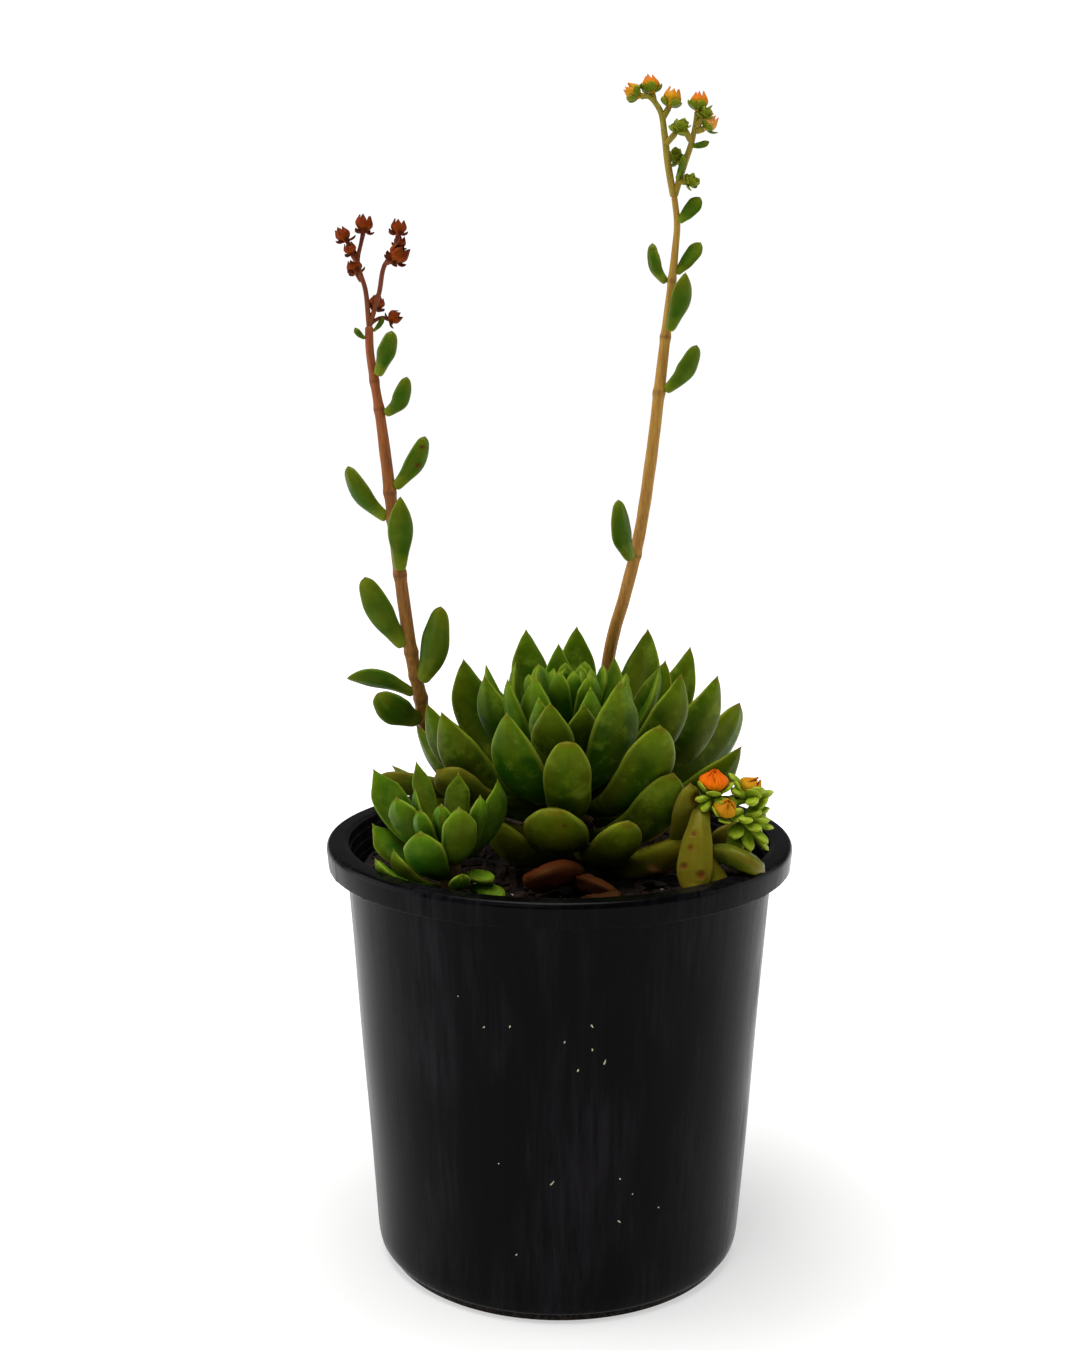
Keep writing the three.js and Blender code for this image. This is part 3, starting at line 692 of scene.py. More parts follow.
@dataclass
class Leaf:
    """A fleshy leaf: a spine, a breadth and two thicknesses along it, and the way its width points."""

    name: str
    knots: Array
    spine: Array
    half_width: Array
    above: Array
    below: Array
    across: Array
    tip_power: float
    age: float = 0.1
    wrinkle: float = 0.02
    pocks: int = 7
    scars: tuple[Scar, ...] = ()
    stations: int = 46
    sides: int = 36
    spike_mm: float = 0.7
    drawn_in: float = 0.14  # how much narrower the tip is than its ring values say
    drawn_from: float = 0.78  # where along the leaf that starts

    def slimmed(self, width: float, length: float, plump: float) -> "Leaf":
        """Scales the leaf's width, its reach from its foot and its thickness by three shares."""
        spine = self.spine[0] + length * (self.spine - self.spine[0])
        return replace(
            self, spine=spine, half_width=width * self.half_width, above=plump * self.above,
            below=plump * self.below,
        )

    def rooted(self, foot: Array) -> "Leaf":
        """Moves the leaf's foot, with its first third following, and measures its length again."""
        share = np.clip(1 - self.knots / 0.35, 0, 1)[:, None]
        spine = self.spine + share * (foot - self.spine[0])
        run = np.concatenate([[0], np.cumsum(np.linalg.norm(np.diff(spine, axis=0), axis=1))])
        return replace(self, spine=spine, knots=run / run[-1])

    @classmethod
    def of_node(cls, node: str, stem: Array, **look: object) -> "Leaf":
        """Reads the leaf's form back from its solid.

        Args:
            node: The frame's node.
            stem: Points of the stem or stalk that it grows from.
            **look: Other fields of the leaf.

        Returns:
            The leaf, from its foot at the stem to its tip.
        """
        points, steps = cage_of(node)
        rings = [points[steps == step] for step in range(1, steps.max())]
        ends = [points[steps == 0][0], points[steps == steps.max()][0]]
        reach = [np.linalg.norm(stem - end, axis=1).min() for end in ends]
        if reach[0] > reach[1]:
            rings.reverse()
            ends.reverse()
        spans = [np.linalg.norm(ring[:, None] - ring[None], axis=-1) for ring in rings]
        widest = max(range(len(rings)), key=lambda at: spans[at].max())
        one, other = np.unravel_index(spans[widest].argmax(), spans[widest].shape)
        across = unit(rings[widest][one] - rings[widest][other])
        shares = [ring @ across for ring in rings]
        centres = [(r[s.argmin()] + r[s.argmax()]) / 2 for r, s in zip(rings, shares)]
        spine = np.array([ends[0], *centres, ends[1]])
        chords = np.linalg.norm(np.diff(spine, axis=0), axis=1)
        knots = np.concatenate([[0], np.cumsum(chords)]) / chords.sum()
        tangents = unit(np.gradient(spine, knots, axis=0))[1:-1]
        normals = unit(np.cross(tangents, across))
        rises = [(r - c) @ n for r, c, n in zip(rings, centres, normals)]
        above, below = np.array([r.max() for r in rises]), np.array([-r.min() for r in rises])
        if above.sum() > below.sum():
            across, above, below = -across, below, above
        half = np.array([np.ptp(s) / 2 for s in shares])
        power = POINTED.tip_power if half[-1] < 0.56 * half[-2] else BLUNT.tip_power
        return cls(node, knots, spine, half, above, below, across, power, **look)

    @classmethod
    def between(
        cls,
        name: str,
        foot_mm: Sequence[float],
        tip_mm: Sequence[float],
        width_mm: float,
        thickness_mm: float,
        bow_mm: float = 1.0,
        roll: float = 0.0,
        outline: Outline = POINTED,
        **look: object,
    ) -> "Leaf":
        """Lays a leaf from foot to tip, its middle sagging below the straight line.

        Args:
            name: The leaf's name.
            foot_mm: Where it grows from, in the part's frame.
            tip_mm: Where it ends.
            width_mm: Its greatest width.
            thickness_mm: Its greatest thickness.
            bow_mm: How far its middle hangs below the straight line.
            roll: Degrees that its faces turn about the straight line, from level across.
            outline: Its outline.
            **look: Other fields of the leaf.

        Returns:
            The leaf.
        """
        foot, tip = np.array(foot_mm, float) * MM, np.array(tip_mm, float) * MM
        chord = tip - foot
        level = np.array([-chord[1], chord[0], 0.0])
        level = unit(level) if np.linalg.norm(level) > 1e-6 else np.array([1.0, 0.0, 0.0])
        over = unit(np.cross(chord, level))
        angle = math.radians(roll)
        across = math.cos(angle) * level + math.sin(angle) * np.cross(unit(chord), level)
        control = (foot + tip) / 2 - 2 * bow_mm * MM * over
        knots = np.array([0.0, *outline.along, 1.0])
        share = knots[:, None]
        spine = (1 - share) ** 2 * foot + 2 * share * (1 - share) * control + share**2 * tip
        half = np.array(outline.breadth) * width_mm * MM / 2
        depth = np.array(outline.depth) * thickness_mm * MM
        return cls(name, knots, spine, half, 0.4 * depth, 0.6 * depth, across, outline.tip_power, **look)

    def skin(self) -> Skin:
        """Works out the leaf's surface.

        Along the leaf, the breadth and the thicknesses follow their values there, times a cap that
        rounds the foot and draws the tip together. Around it, a point at angle t is cos t of the half
        breadth across and sin t, to a power a little over 1, of the thickness up or down, so that the
        two faces meet in an edge. The upper face is hollowed along its middle, the lower face has a
        keel near the tip, and small waves, pits and scars are added along the face's normal.

        Returns:
            The closed surface, with its "growth" and "mark" values.
        """
        rng = np.random.default_rng(zlib.crc32(self.name.encode()))
        even = np.linspace(0, 1, self.stations + 2)[1:-1]
        at = 0.55 * even + 0.45 * (1 - (1 - even) ** 2.2)
        spine = smooth_between(self.knots, self.spine, at)
        ahead = unit(np.gradient(spine, at, axis=0))
        normal = unit(np.cross(ahead, self.across))
        side = np.cross(normal, ahead)

        def cap(share: Array) -> Array:
            """Closes the leaf at its foot and draws it together at its tip."""
            return (1 - share**6) ** self.tip_power * np.sqrt(1 - (1 - share) ** 30)

        inner = self.knots[1:-1]
        span = np.array([0.0, *inner, 1.0])

        def profile(values: Array) -> Array:
            """Carries ring values along the leaf, closed by the cap."""
            ratio = values / cap(inner)
            return smooth_between(span, np.array([ratio[0], *ratio, ratio[-1]]), at) * cap(at)

        taper = 1 - self.drawn_in * ramp(at, self.drawn_from, 0.97)
        half, above, below = profile(self.half_width) * taper, profile(self.above), profile(self.below)
        turn = np.linspace(0, 2 * math.pi, self.sides, endpoint=False)[None]
        x, s = np.cos(turn), np.sin(turn)
        row = at[:, None]
        hollow = 0.45 * np.exp(-((x / 0.5) ** 2)) * ramp(row, 0.15, 0.6) * (1 - ramp(row, 0.85, 1))
        keel = 0.16 * np.exp(-((x / 0.2) ** 2)) * ramp(row, 0.5, 0.9)
        face = np.where(
            s >= 0,
            above[:, None] * np.abs(s) ** 1.25 * (1 - hollow),
            -below[:, None] * np.abs(s) ** 1.12 * (1 + keel),
        )
        size = self.half_width.max()
        wave = self.wrinkle * size * ripples(rng, (row, x, s), 7, 9.0)
        fine = 0.25 * self.wrinkle * size * ripples(rng, (row, x, s), 9, 34.0)
        lift = (wave + fine) * np.sqrt(np.abs(s)) * np.sign(s) * np.minimum(1, half[:, None] / size)
        mark = np.zeros_like(face)
        length = np.linalg.norm(np.diff(self.spine, axis=0), axis=1).sum()
        pits = [
            Scar(rng.uniform(0.35, 0.97), rng.uniform(-0.8, 0.8), bool(rng.integers(2)),
                 rng.uniform(0.35, 0.9), rng.uniform(-0.12, 0.16))
            for _ in range(self.pocks)
        ]
        for pit, colour in [(p, 0.12) for p in pits] + [(scar, 1.0) for scar in self.scars]:
            radius = pit.radius_mm * MM
            gap = np.hypot((row - pit.along) * length, (x - pit.across) * half[:, None]) / radius
            facing = (s >= 0) == pit.upper
            well = np.exp(-(gap**2)) - 0.45 * np.exp(-(((gap - 1.3) / 0.4) ** 2))
            lift = lift - np.where(facing, well, 0) * pit.depth_mm * MM * np.sign(s)
            mark = np.maximum(mark, np.where(facing, colour * np.clip(1.5 - gap, 0, 1), 0))
        sway = 0.03 * size * ripples(rng, (row, x * 0 + s * 0), 3, 6.0)
        edge = half[:, None] * x * (1 + 0.02 * ripples(rng, (row, np.sign(x)), 4, 22.0)) + sway
        rings = spine[:, None] + edge[..., None] * side[:, None] + (face + lift)[..., None] * normal[:, None]
        tip = self.spine[-1] + self.spike_mm * MM * ahead[-1]
        age = np.clip(self.age + 0.1 * ripples(rng, (row, x, s), 3, 5.0), 0, 1)
        growth = np.stack(np.broadcast_arrays(row, np.abs(x), age), -1)
        return Skin.closed(rings, self.spine[0], tip, growth=growth, mark=mark)


FEW_RINGS = 12
END_GAP = 0.02 * MM  # between a long rod's pole and its first ring
COLLAR_REACH = 1.3 * MM  # how far a leaf's swollen scar runs along a stalk


@dataclass
class Rod:
    """A round stem, stalk or pedicel along points, thicker where leaves joined it."""

    points: Array
    radii: Array
    joints: Sequence[float] = ()
    sides: int = 20
    step: float = 1.2 * MM
    ridge: float = 0.035
    seed: int = 1

    def skin(self) -> Skin:
        """Works out the rod's surface.

        A smooth spine runs through the points, and each ring stands square to it. The radius follows
        its values, times five soft ridges and small waves, with a swollen collar at each joint and
        rounded ends.

        Returns:
            The closed surface, with its "growth" and "mark" values.
        """
        rng = np.random.default_rng(self.seed)
        chords = np.linalg.norm(np.diff(self.points, axis=0), axis=1)
        knots = np.concatenate([[0], np.cumsum(chords)])
        length = knots[-1]
        count = max(8, int(length / self.step))
        if count < FEW_RINGS:  # a short rod has its rings crowded to its ends
            at = length * (0.5 - 0.5 * np.cos(np.linspace(0.02, 1, count) * math.pi * 0.999))
        else:
            at = np.linspace(END_GAP, length - END_GAP, count)
        spine = smooth_between(knots, self.points, at)
        ahead = unit(np.gradient(spine, at, axis=0))
        axes = np.eye(3)[:2]
        aside = axes[np.abs(ahead @ axes.T).max(0).argmin()]
        first = unit(aside - (ahead @ aside)[:, None] * ahead)
        second = np.cross(ahead, first)
        radius = smooth_between(knots, self.radii, at)
        collar = np.zeros_like(at)
        for joint in self.joints:
            collar = collar + np.exp(-(((at - joint) / COLLAR_REACH) ** 2))
        radius = radius * (1 + 0.16 * np.minimum(collar, 1.2))
        near_end = np.minimum(at, length - at) / radius
        radius = radius * np.sqrt(np.clip(1 - (1 - np.minimum(near_end / 0.7, 1)) ** 2, 0.02, 1))
        turn = np.linspace(0, 2 * math.pi, self.sides, endpoint=False)[None]
        run = (at / (10 * MM))[:, None]
        ridges = self.ridge * np.cos(5 * turn + run) + 0.5 * self.ridge * ripples(
            rng, (run, np.cos(turn), np.sin(turn)), 5, 6.0
        )
        reach = radius[:, None] * (1 + ridges)
        rings = (
            spine[:, None]
            + (reach * np.cos(turn))[..., None] * first[:, None]
            + (reach * np.sin(turn))[..., None] * second[:, None]
        )
        share = (at / length)[:, None]
        ring_mark = np.clip(collar - 0.75, 0, 0.25)[:, None] * 2.2
        growth = np.stack(np.broadcast_arrays(share, ridges * 0, 0 * turn + 0.1), -1)
        mark = np.broadcast_to(ring_mark, reach.shape)
        return Skin.closed(rings, self.points[0], self.points[-1], growth=growth, mark=mark)


def rod_of_node(node: str, joints: Sequence[Array] = (), seed: int = 1) -> Rod:
    """Reads a stalk back from its solid.

    Args:
        node: The frame's node.
        joints: The feet of the leaves that it carries.
        seed: The seed of its small waves.

    Returns:
        The rod, from its lower end up, with a collar near each leaf's foot.
    """
    points, steps = cage_of(node)
    rings = [points[steps == step] for step in range(1, steps.max())]
    centres = np.array([ring.mean(0) for ring in rings])
    radii = np.array([np.linalg.norm(ring - ring.mean(0), axis=1).mean() for ring in rings])
    if centres[0, 2] > centres[-1, 2]:
        centres, radii = centres[::-1], radii[::-1]
    run = np.concatenate([[0], np.cumsum(np.linalg.norm(np.diff(centres, axis=0), axis=1))])
    places = [run[np.linalg.norm(centres - joint, axis=1).argmin()] for joint in joints]
    return Rod(centres, radii, places, sides=24, step=0.9 * MM, seed=seed)


def across_of(axis: Array) -> tuple[Array, Array]:
    """Returns two unit vectors square to an axis and to each other, the second anticlockwise."""
    aside = np.eye(3)[np.abs(axis).argmin()]
    first = unit(np.cross(axis, aside))
    return first, np.cross(axis, first)


# ---------------------------------------------------------------------------------------------------
# The pot and its mix
# ---------------------------------------------------------------------------------------------------


def rounded(corners: Sequence[tuple[float, float, float]], steps: int = 5) -> Array:
    """Rounds the corners of an outline.

    Args:
        corners: Radius, height and rounding of each corner, in millimetres. The two ends stay sharp.
        steps: Points on each rounded corner.

    Returns:
        The outline's points in metres, as (radius, height).
    """
    points = np.array([corner[:2] for corner in corners])
    path = [points[:1]]
    share = np.linspace(0, 1, steps)[:, None]
    for before, corner, after, (_, _, radius) in zip(points, points[1:], points[2:], corners[1:-1]):
        back, on = before - corner, after - corner
        start = corner + back * min(0.5, radius / np.linalg.norm(back))
        end = corner + on * min(0.5, radius / np.linalg.norm(on))
        path.append((1 - share) ** 2 * start + 2 * share * (1 - share) * corner + share**2 * end)
    path.append(points[-1:])
    return np.concatenate(path) * MM


@dataclass
class NurseryPot:
    """The moulded pot: a thin cone with a hollow lip, three inner ledges, a foot ring and drains."""

    lip_width_mm: float = 6.8
    skirt_wall_mm: float = 1.5
    skirt_drop_mm: float = 7.4
    wall_mm: float = 1.3
    base_radius_mm: float = 55.75
    ledges: int = 3
    ledge_height_mm: float = 3.2
    ledge_step_mm: float = 0.5
    foot_height_mm: float = 3.0
    foot_inset_mm: float = 2.6
    foot_width_mm: float = 4.0
    floor_top_mm: float = 4.4
    drains: int = 8
    drain_radius_mm: float = 4.5
    segments: int = 224
    point_spacing_mm: float = 3.2  # the most between two points of the section
    oval_mm: float = 0.16
    wave_mm: float = 0.13
    flashes: int = 46
    crumb_half_width_mm: float = 0.22
    # Fertiliser crumbs stuck to the wall: degrees from the front, height and length in millimetres.
    crumbs: tuple[tuple[float, float, float], ...] = (
        (-13, 92, 0.9), (-20, 91, 0.8), (8, 92.5, 1.2), (1, 88, 0.8), (8.2, 85.5, 0.9), (11.5, 81.5, 1.6),
        (4.5, 79.5, 0.9), (-2.2, 45.2, 1.8), (16.6, 45.4, 0.8), (20.5, 40, 0.6), (16.8, 32, 1.3),
        (-12.5, 22, 0.7), (-27, 99, 0.5), (29, 34, 0.5), (-17, 50, 0.4), (-41, 121, 0.5),
    )

    def wall_radius(self, height_mm: float, rim_mm: float, top_mm: float) -> float:
        """Returns the outside radius of the cone at a height, in millimetres."""
        share = (height_mm - self.foot_height_mm) / (top_mm - self.foot_height_mm)
        upper = rim_mm - self.lip_width_mm + self.wall_mm
        return self.base_radius_mm + share * (upper - self.base_radius_mm)

    def outline(self) -> Array:
        """Draws half the pot's section, from the axis under the floor round to the axis above it.

        Returns:
            The section's points as (radius, height), close enough together to carry small dents.
        """
        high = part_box("pot")[1]
        rim, top = high.x / MM, high.z / MM
        bore = rim - self.lip_width_mm
        foot_out = self.base_radius_mm - self.foot_inset_mm
        foot_in = foot_out - self.foot_width_mm
        recess = self.foot_height_mm - 0.6
        under_lip, skirt = top - self.skirt_wall_mm, top - self.skirt_drop_mm
        neck = self.wall_radius(under_lip, rim, top)
        bore_foot = self.wall_radius(self.floor_top_mm, rim, top) - self.wall_mm
        ledges = []
        for step in range(self.ledges + 1):
            radius, height = bore - step * self.ledge_step_mm, top - step * self.ledge_height_mm
            if step:
                ledges.append((radius, height, 0.15))
            if step < self.ledges:
                ledges.append((radius, height - self.ledge_height_mm, 0.25))
        section = rounded([
            (0, recess, 0), (foot_in, recess, 0.4), (foot_in + 0.4, 0, 0.5), (foot_out - 0.4, 0, 0.5),
            (foot_out, recess, 0.4), (self.base_radius_mm - 0.5, self.foot_height_mm, 2.4),
            (self.base_radius_mm + 0.3, self.foot_height_mm + 4, 1.5), (neck, under_lip, 0.3),
            (rim - self.skirt_wall_mm - 0.4, under_lip, 0.4), (rim - self.skirt_wall_mm - 0.6, skirt, 0.2),
            (rim - 0.6, skirt, 0.35), (rim - 0.05, top - 1.4, 0.8), (rim - 0.9, top, 0.8),
            (bore + 1.5, top, 0.35), (bore + 0.9, top - 0.35, 0.3), (bore, top - 0.45, 0.4), *ledges,
            (bore_foot + 0.6, self.floor_top_mm + 3, 1.5), (bore_foot - 1.4, self.floor_top_mm, 1.5),
            (0, self.floor_top_mm, 0),
        ])
        run = np.concatenate([[0], np.cumsum(np.linalg.norm(np.diff(section, axis=0), axis=1))])
        at = np.union1d(run, np.arange(0, run[-1], self.point_spacing_mm * MM))
        at = at[np.concatenate([[True], np.diff(at) > 0.02 * MM])]
        return np.stack([np.interp(at, run, section[:, 0]), np.interp(at, run, section[:, 1])], -1)

    def skin(self) -> Skin:
        """Turns the section about the pot's axis.

        The radius gains a slight oval and long shallow waves, the same inside and out. The lower edge
        of the lip carries torn flash: a sum of narrow bell curves of the turn, hanging down.

        Returns:
            The closed surface.
        """
        rng = np.random.default_rng(11)
        outline = self.outline()
        rim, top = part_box("pot")[1].x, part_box("pot")[1].z
        turn = np.linspace(0, 2 * math.pi, self.segments, endpoint=False)[None]
        reach, height = (column[1:-1, None] for column in outline.T)
        waves = ripples(rng, (np.cos(turn), np.sin(turn), height / (25 * MM)), 8, 3.2)
        shift = self.oval_mm * np.cos(2 * turn + 0.8) + self.wave_mm * waves
        radius = reach + np.minimum(1, reach / (40 * MM)) * shift * MM * (height > 4 * MM)
        flash = np.zeros_like(turn)
        for _ in range(self.flashes):
            centre, width = rng.uniform(0, 2 * math.pi), math.radians(rng.uniform(0.5, 2.4))
            gap = np.angle(np.exp(1j * (turn - centre)))
            flash = flash + rng.uniform(0.08, 0.55) * np.exp(-((gap / width) ** 2))
        skirt = top - self.skirt_drop_mm * MM
        edge = np.exp(-(((height - skirt) / (0.35 * MM)) ** 2)) * (reach > rim - 2.6 * MM)
        z = height - edge * flash * MM
        rings = np.stack([radius * np.cos(turn), radius * np.sin(turn), z + 0 * turn], -1)
        start, end = (np.array([0, 0, outline[at, 1]]) for at in (0, -1))
        return Skin.closed(rings, start, end)

    def drain_tool(self) -> bpy.types.Object:
        """Makes the round cutters for the floor, as one object that is deleted after use."""
        reach = (self.base_radius_mm - self.foot_inset_mm - self.foot_width_mm) * MM
        reach -= 2 * self.drain_radius_mm * MM
        cutters = []
        for hole in range(self.drains):
            angle = 2 * math.pi * hole / self.drains
            foot = np.array([reach * math.cos(angle), reach * math.sin(angle), -2 * MM])
            turn = np.linspace(0, 2 * math.pi, 32, endpoint=False)
            ring = np.stack([np.cos(turn), np.sin(turn), 0 * turn], -1) * self.drain_radius_mm * MM
            rings = foot + ring[None] + np.array([0, 12 * MM])[:, None, None] * UP
            cutters.append(Skin.closed(rings, foot, foot + 12 * MM * UP))
        mesh = bpy.data.meshes.new("drain_cutters")
        whole = Skin.merged(cutters)
        mesh.from_pydata(whole.points.tolist(), [], whole.quads.tolist() + whole.fans.tolist())
        tool = bpy.data.objects.new("drain_cutters", mesh)
        bpy.context.scene.collection.objects.link(tool)
        return tool

    def crumb_skin(self) -> Skin:
        """Works out the crumbs on the wall: small long ellipsoids, half sunk in it, each its own lean."""
        rng = np.random.default_rng(5)
        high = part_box("pot")[1]
        skins = []
        for turn, height, length in self.crumbs:
            angle = math.radians(turn - 90)
            radius = self.wall_radius(height, high.x / MM, high.z / MM) * MM
            if height > high.z / MM - self.skirt_drop_mm:
                radius = high.x - 0.4 * MM
            out = np.array([math.cos(angle), math.sin(angle), 0])
            aside = np.cross(UP, out)
            lean = rng.uniform(-0.9, 0.9)
            along = math.cos(lean) * UP + math.sin(lean) * aside
            centre = radius * out + height * MM * UP
            polar = np.linspace(0, math.pi, 7)[1:-1, None]
            round_ = np.linspace(0, 2 * math.pi, 8, endpoint=False)[None]
            lumps = ripples(rng, (polar, np.cos(round_), np.sin(round_)), 3, 3.0)
            wide = self.crumb_half_width_mm * MM * (1 + 0.3 * lumps)
            across = np.cross(along, out)
            rings = centre + (
                (-np.cos(polar) * length / 2 * MM)[..., None] * along
                + (wide * np.sin(polar) * np.cos(round_))[..., None] * across
                + (wide * np.sin(polar) * np.sin(round_))[..., None] * np.cross(along, across)
            )
            half = length / 2 * MM * along
            growth = np.stack(np.broadcast_arrays(polar, 0 * round_, 0 * round_ + 0.9), -1)
            skins.append(Skin.closed(rings, centre - half, centre + half, growth=growth))
        return Skin.merged(skins)

    def build(self) -> None:
        """Builds the pot, drills its drains and sticks the crumbs to it."""
        pot = self.skin().piece("nursery_pot", PlasticFinish().material(), Slot.PLASTIC, "pot")
        tool = self.drain_tool()
        cut = pot.modifiers.new("drains", "BOOLEAN")
        cut.operation = "DIFFERENCE"
        cut.solver = "EXACT"
        cut.object = tool
        bpy.context.view_layer.update()
        depsgraph = bpy.context.evaluated_depsgraph_get()
        drilled = bpy.data.meshes.new_from_object(pot.evaluated_get(depsgraph), depsgraph=depsgraph)
        pot.modifiers.clear()
        pot.data = drilled
        bpy.data.objects.remove(tool)
        crumb = MixFinish("dried_fertiliser_crumb", "#8d8468", "#d9d2b4", grain_mm=0.6).material()
        self.crumb_skin().piece("wall_crumbs", crumb, Slot.MIX)


@dataclass
class PottingMix:
    """The potting mix: an uneven bed of fines with bark chips and a few pale crumbs on it."""

    drop_mm: float = 9.0
    relief_mm: float = 1.1
    chips: int = 760
    pale_crumbs: int = 46
    segments: int = 150
    rings: int = 56

    def __post_init__(self) -> None:
        """Reads the level and the reach from the frame."""
        self.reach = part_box("potting_mix")[1].x
        self.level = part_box("pot")[1].z - self.drop_mm * MM

    def height(self, x: Array, y: Array) -> Array:
        """Returns the bed's height at x, y: waves of two sizes about the level."""
        rng = np.random.default_rng(3)
        broad = ripples(rng, (x / MM, y / MM), 6, 0.22)
        close = ripples(rng, (x / MM, y / MM), 10, 0.9)
        return self.level + (0.75 * broad + 0.35 * close) * self.relief_mm * MM

    def bed(self) -> Skin:
        """Works out the bed: a disc of rings raised to the bed's height, closed by a wall and a floor."""
        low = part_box("potting_mix")[0].z
        turn = np.linspace(0, 2 * math.pi, self.segments, endpoint=False)[None]
        radius = np.linspace(1, 0.012, self.rings)[:, None] * (self.reach - 0.5 * MM)
        x, y = radius * np.cos(turn), radius * np.sin(turn)
        edge = 1.2 * MM * ramp(radius, self.reach - 4 * MM, self.reach)
        top = np.stack([x, y, self.height(x, y) - edge], -1)
        wall = np.array([[0.86, low], [0.88, low + 3 * MM], [0.985, self.level - 14 * MM]])
        side = np.stack(
            [wall[:, :1] * self.reach * np.cos(turn), wall[:, :1] * self.reach * np.sin(turn),
             wall[:, 1:] + 0 * turn], -1,
        )
        rings = np.concatenate([side, top])
        growth = np.ones_like(rings) * 0.75
        centre = np.array([0, 0, float(self.height(np.zeros(1), np.zeros(1))[0])])
        return Skin.closed(rings, np.array([0, 0, low]), centre, growth=growth)

    def scatter(self, count: int, lengths: tuple[float, float], flat: float, seed: int) -> Skin:
        """Scatters rough chips on the bed.

        Each chip is four six-sided rings along its length, bulged and knocked about by a few tenths,
        turned to a random heading, tilted a little and sunk by a third of its thickness.

        Args:
            count: How many chips.
            lengths: The shortest and the longest, in millimetres.
            flat: Thickness as a share of width.
            seed: The seed of their places and shapes.

        Returns:
            All the chips as one surface, each with its own tone.
        """
        rng = np.random.default_rng(seed)
        turn = np.linspace(0, 2 * math.pi, 6, endpoint=False)
        profile = np.array([0.55, 1.0, 0.95, 0.5])
        skins = []
        for _ in range(count):
            length = rng.uniform(*lengths) * MM
            width = length * rng.uniform(0.28, 0.65)
            size = profile * rng.uniform(0.8, 1.2, 4)
            along = np.array([-0.45, -0.2, 0.22, 0.45])[:, None] * length
            knock = rng.uniform(0.75, 1.25, (4, 6))
            local = np.stack([
                along + 0 * turn,
                width / 2 * size[:, None] * np.cos(turn) * knock,
                width / 2 * flat * size[:, None] * np.sin(turn) * knock,
            ], -1)
            heading, tilt, roll = rng.uniform(0, 2 * math.pi), rng.normal(0, 0.22), rng.normal(0, 0.3)
            ahead = np.array([math.cos(heading) * math.cos(tilt), math.sin(heading) * math.cos(tilt),
                              math.sin(tilt)])
            level = unit(np.cross(UP, ahead))
            over = np.cross(ahead, level)
            side = math.cos(roll) * level + math.sin(roll) * over
            axes = np.stack([ahead, side, np.cross(ahead, side)])
            spread = (self.reach - length / 2 - 1 * MM) * math.sqrt(rng.uniform(0.0, 1))
            angle = rng.uniform(0, 2 * math.pi)
            x, y = spread * math.cos(angle), spread * math.sin(angle)
            z = float(self.height(np.array([x]), np.array([y]))[0]) + width * flat * rng.uniform(0.0, 0.45)
            centre = np.array([x, y, z])
            growth = np.full((4, 6, 3), rng.uniform(0.25, 1.0))
            poles = [centre + end * 0.52 * length * ahead for end in (-1, 1)]
            skins.append(Skin.closed(centre + local @ axes, poles[0], poles[1], growth=growth))
        return Skin.merged(skins)

    def build(self) -> None:
        """Builds the bed and everything loose that lies on it."""
        # The fines and the bark are the damp mix's own dark browns, darkened further by painted shade from
        # the leaves that hang over the mix.
        fines = MixFinish("damp_peat_fines", "#060403", "#1c130c").material()
        bark = MixFinish("composted_pine_bark", "#0b0604", "#2e1c10", grain_mm=2.2).material()
        pale = MixFinish("weathered_perlite", "#9a927c", "#d8d1bb", grain_mm=0.8).material()
        self.bed().piece("mix_bed", fines, Slot.MIX, "potting_mix")
        self.scatter(self.chips, (2.5, 9.0), 0.5, 21).piece("bark_chips", bark, Slot.MIX, smooth=False)
        self.scatter(self.pale_crumbs, (1.0, 2.4), 0.8, 22).piece("pale_crumbs", pale, Slot.MIX)


# ---------------------------------------------------------------------------------------------------
# The plants
# ---------------------------------------------------------------------------------------------------


def stem_axis(node: str) -> Array:
    """Returns points up the middle of an upright stem's box."""
    low, high = (np.array(corner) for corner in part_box(node))
    middle = (low + high) / 2
    heights = np.linspace(low[2], high[2], 12)
    return np.stack([np.full(12, middle[0]), np.full(12, middle[1]), heights], -1)


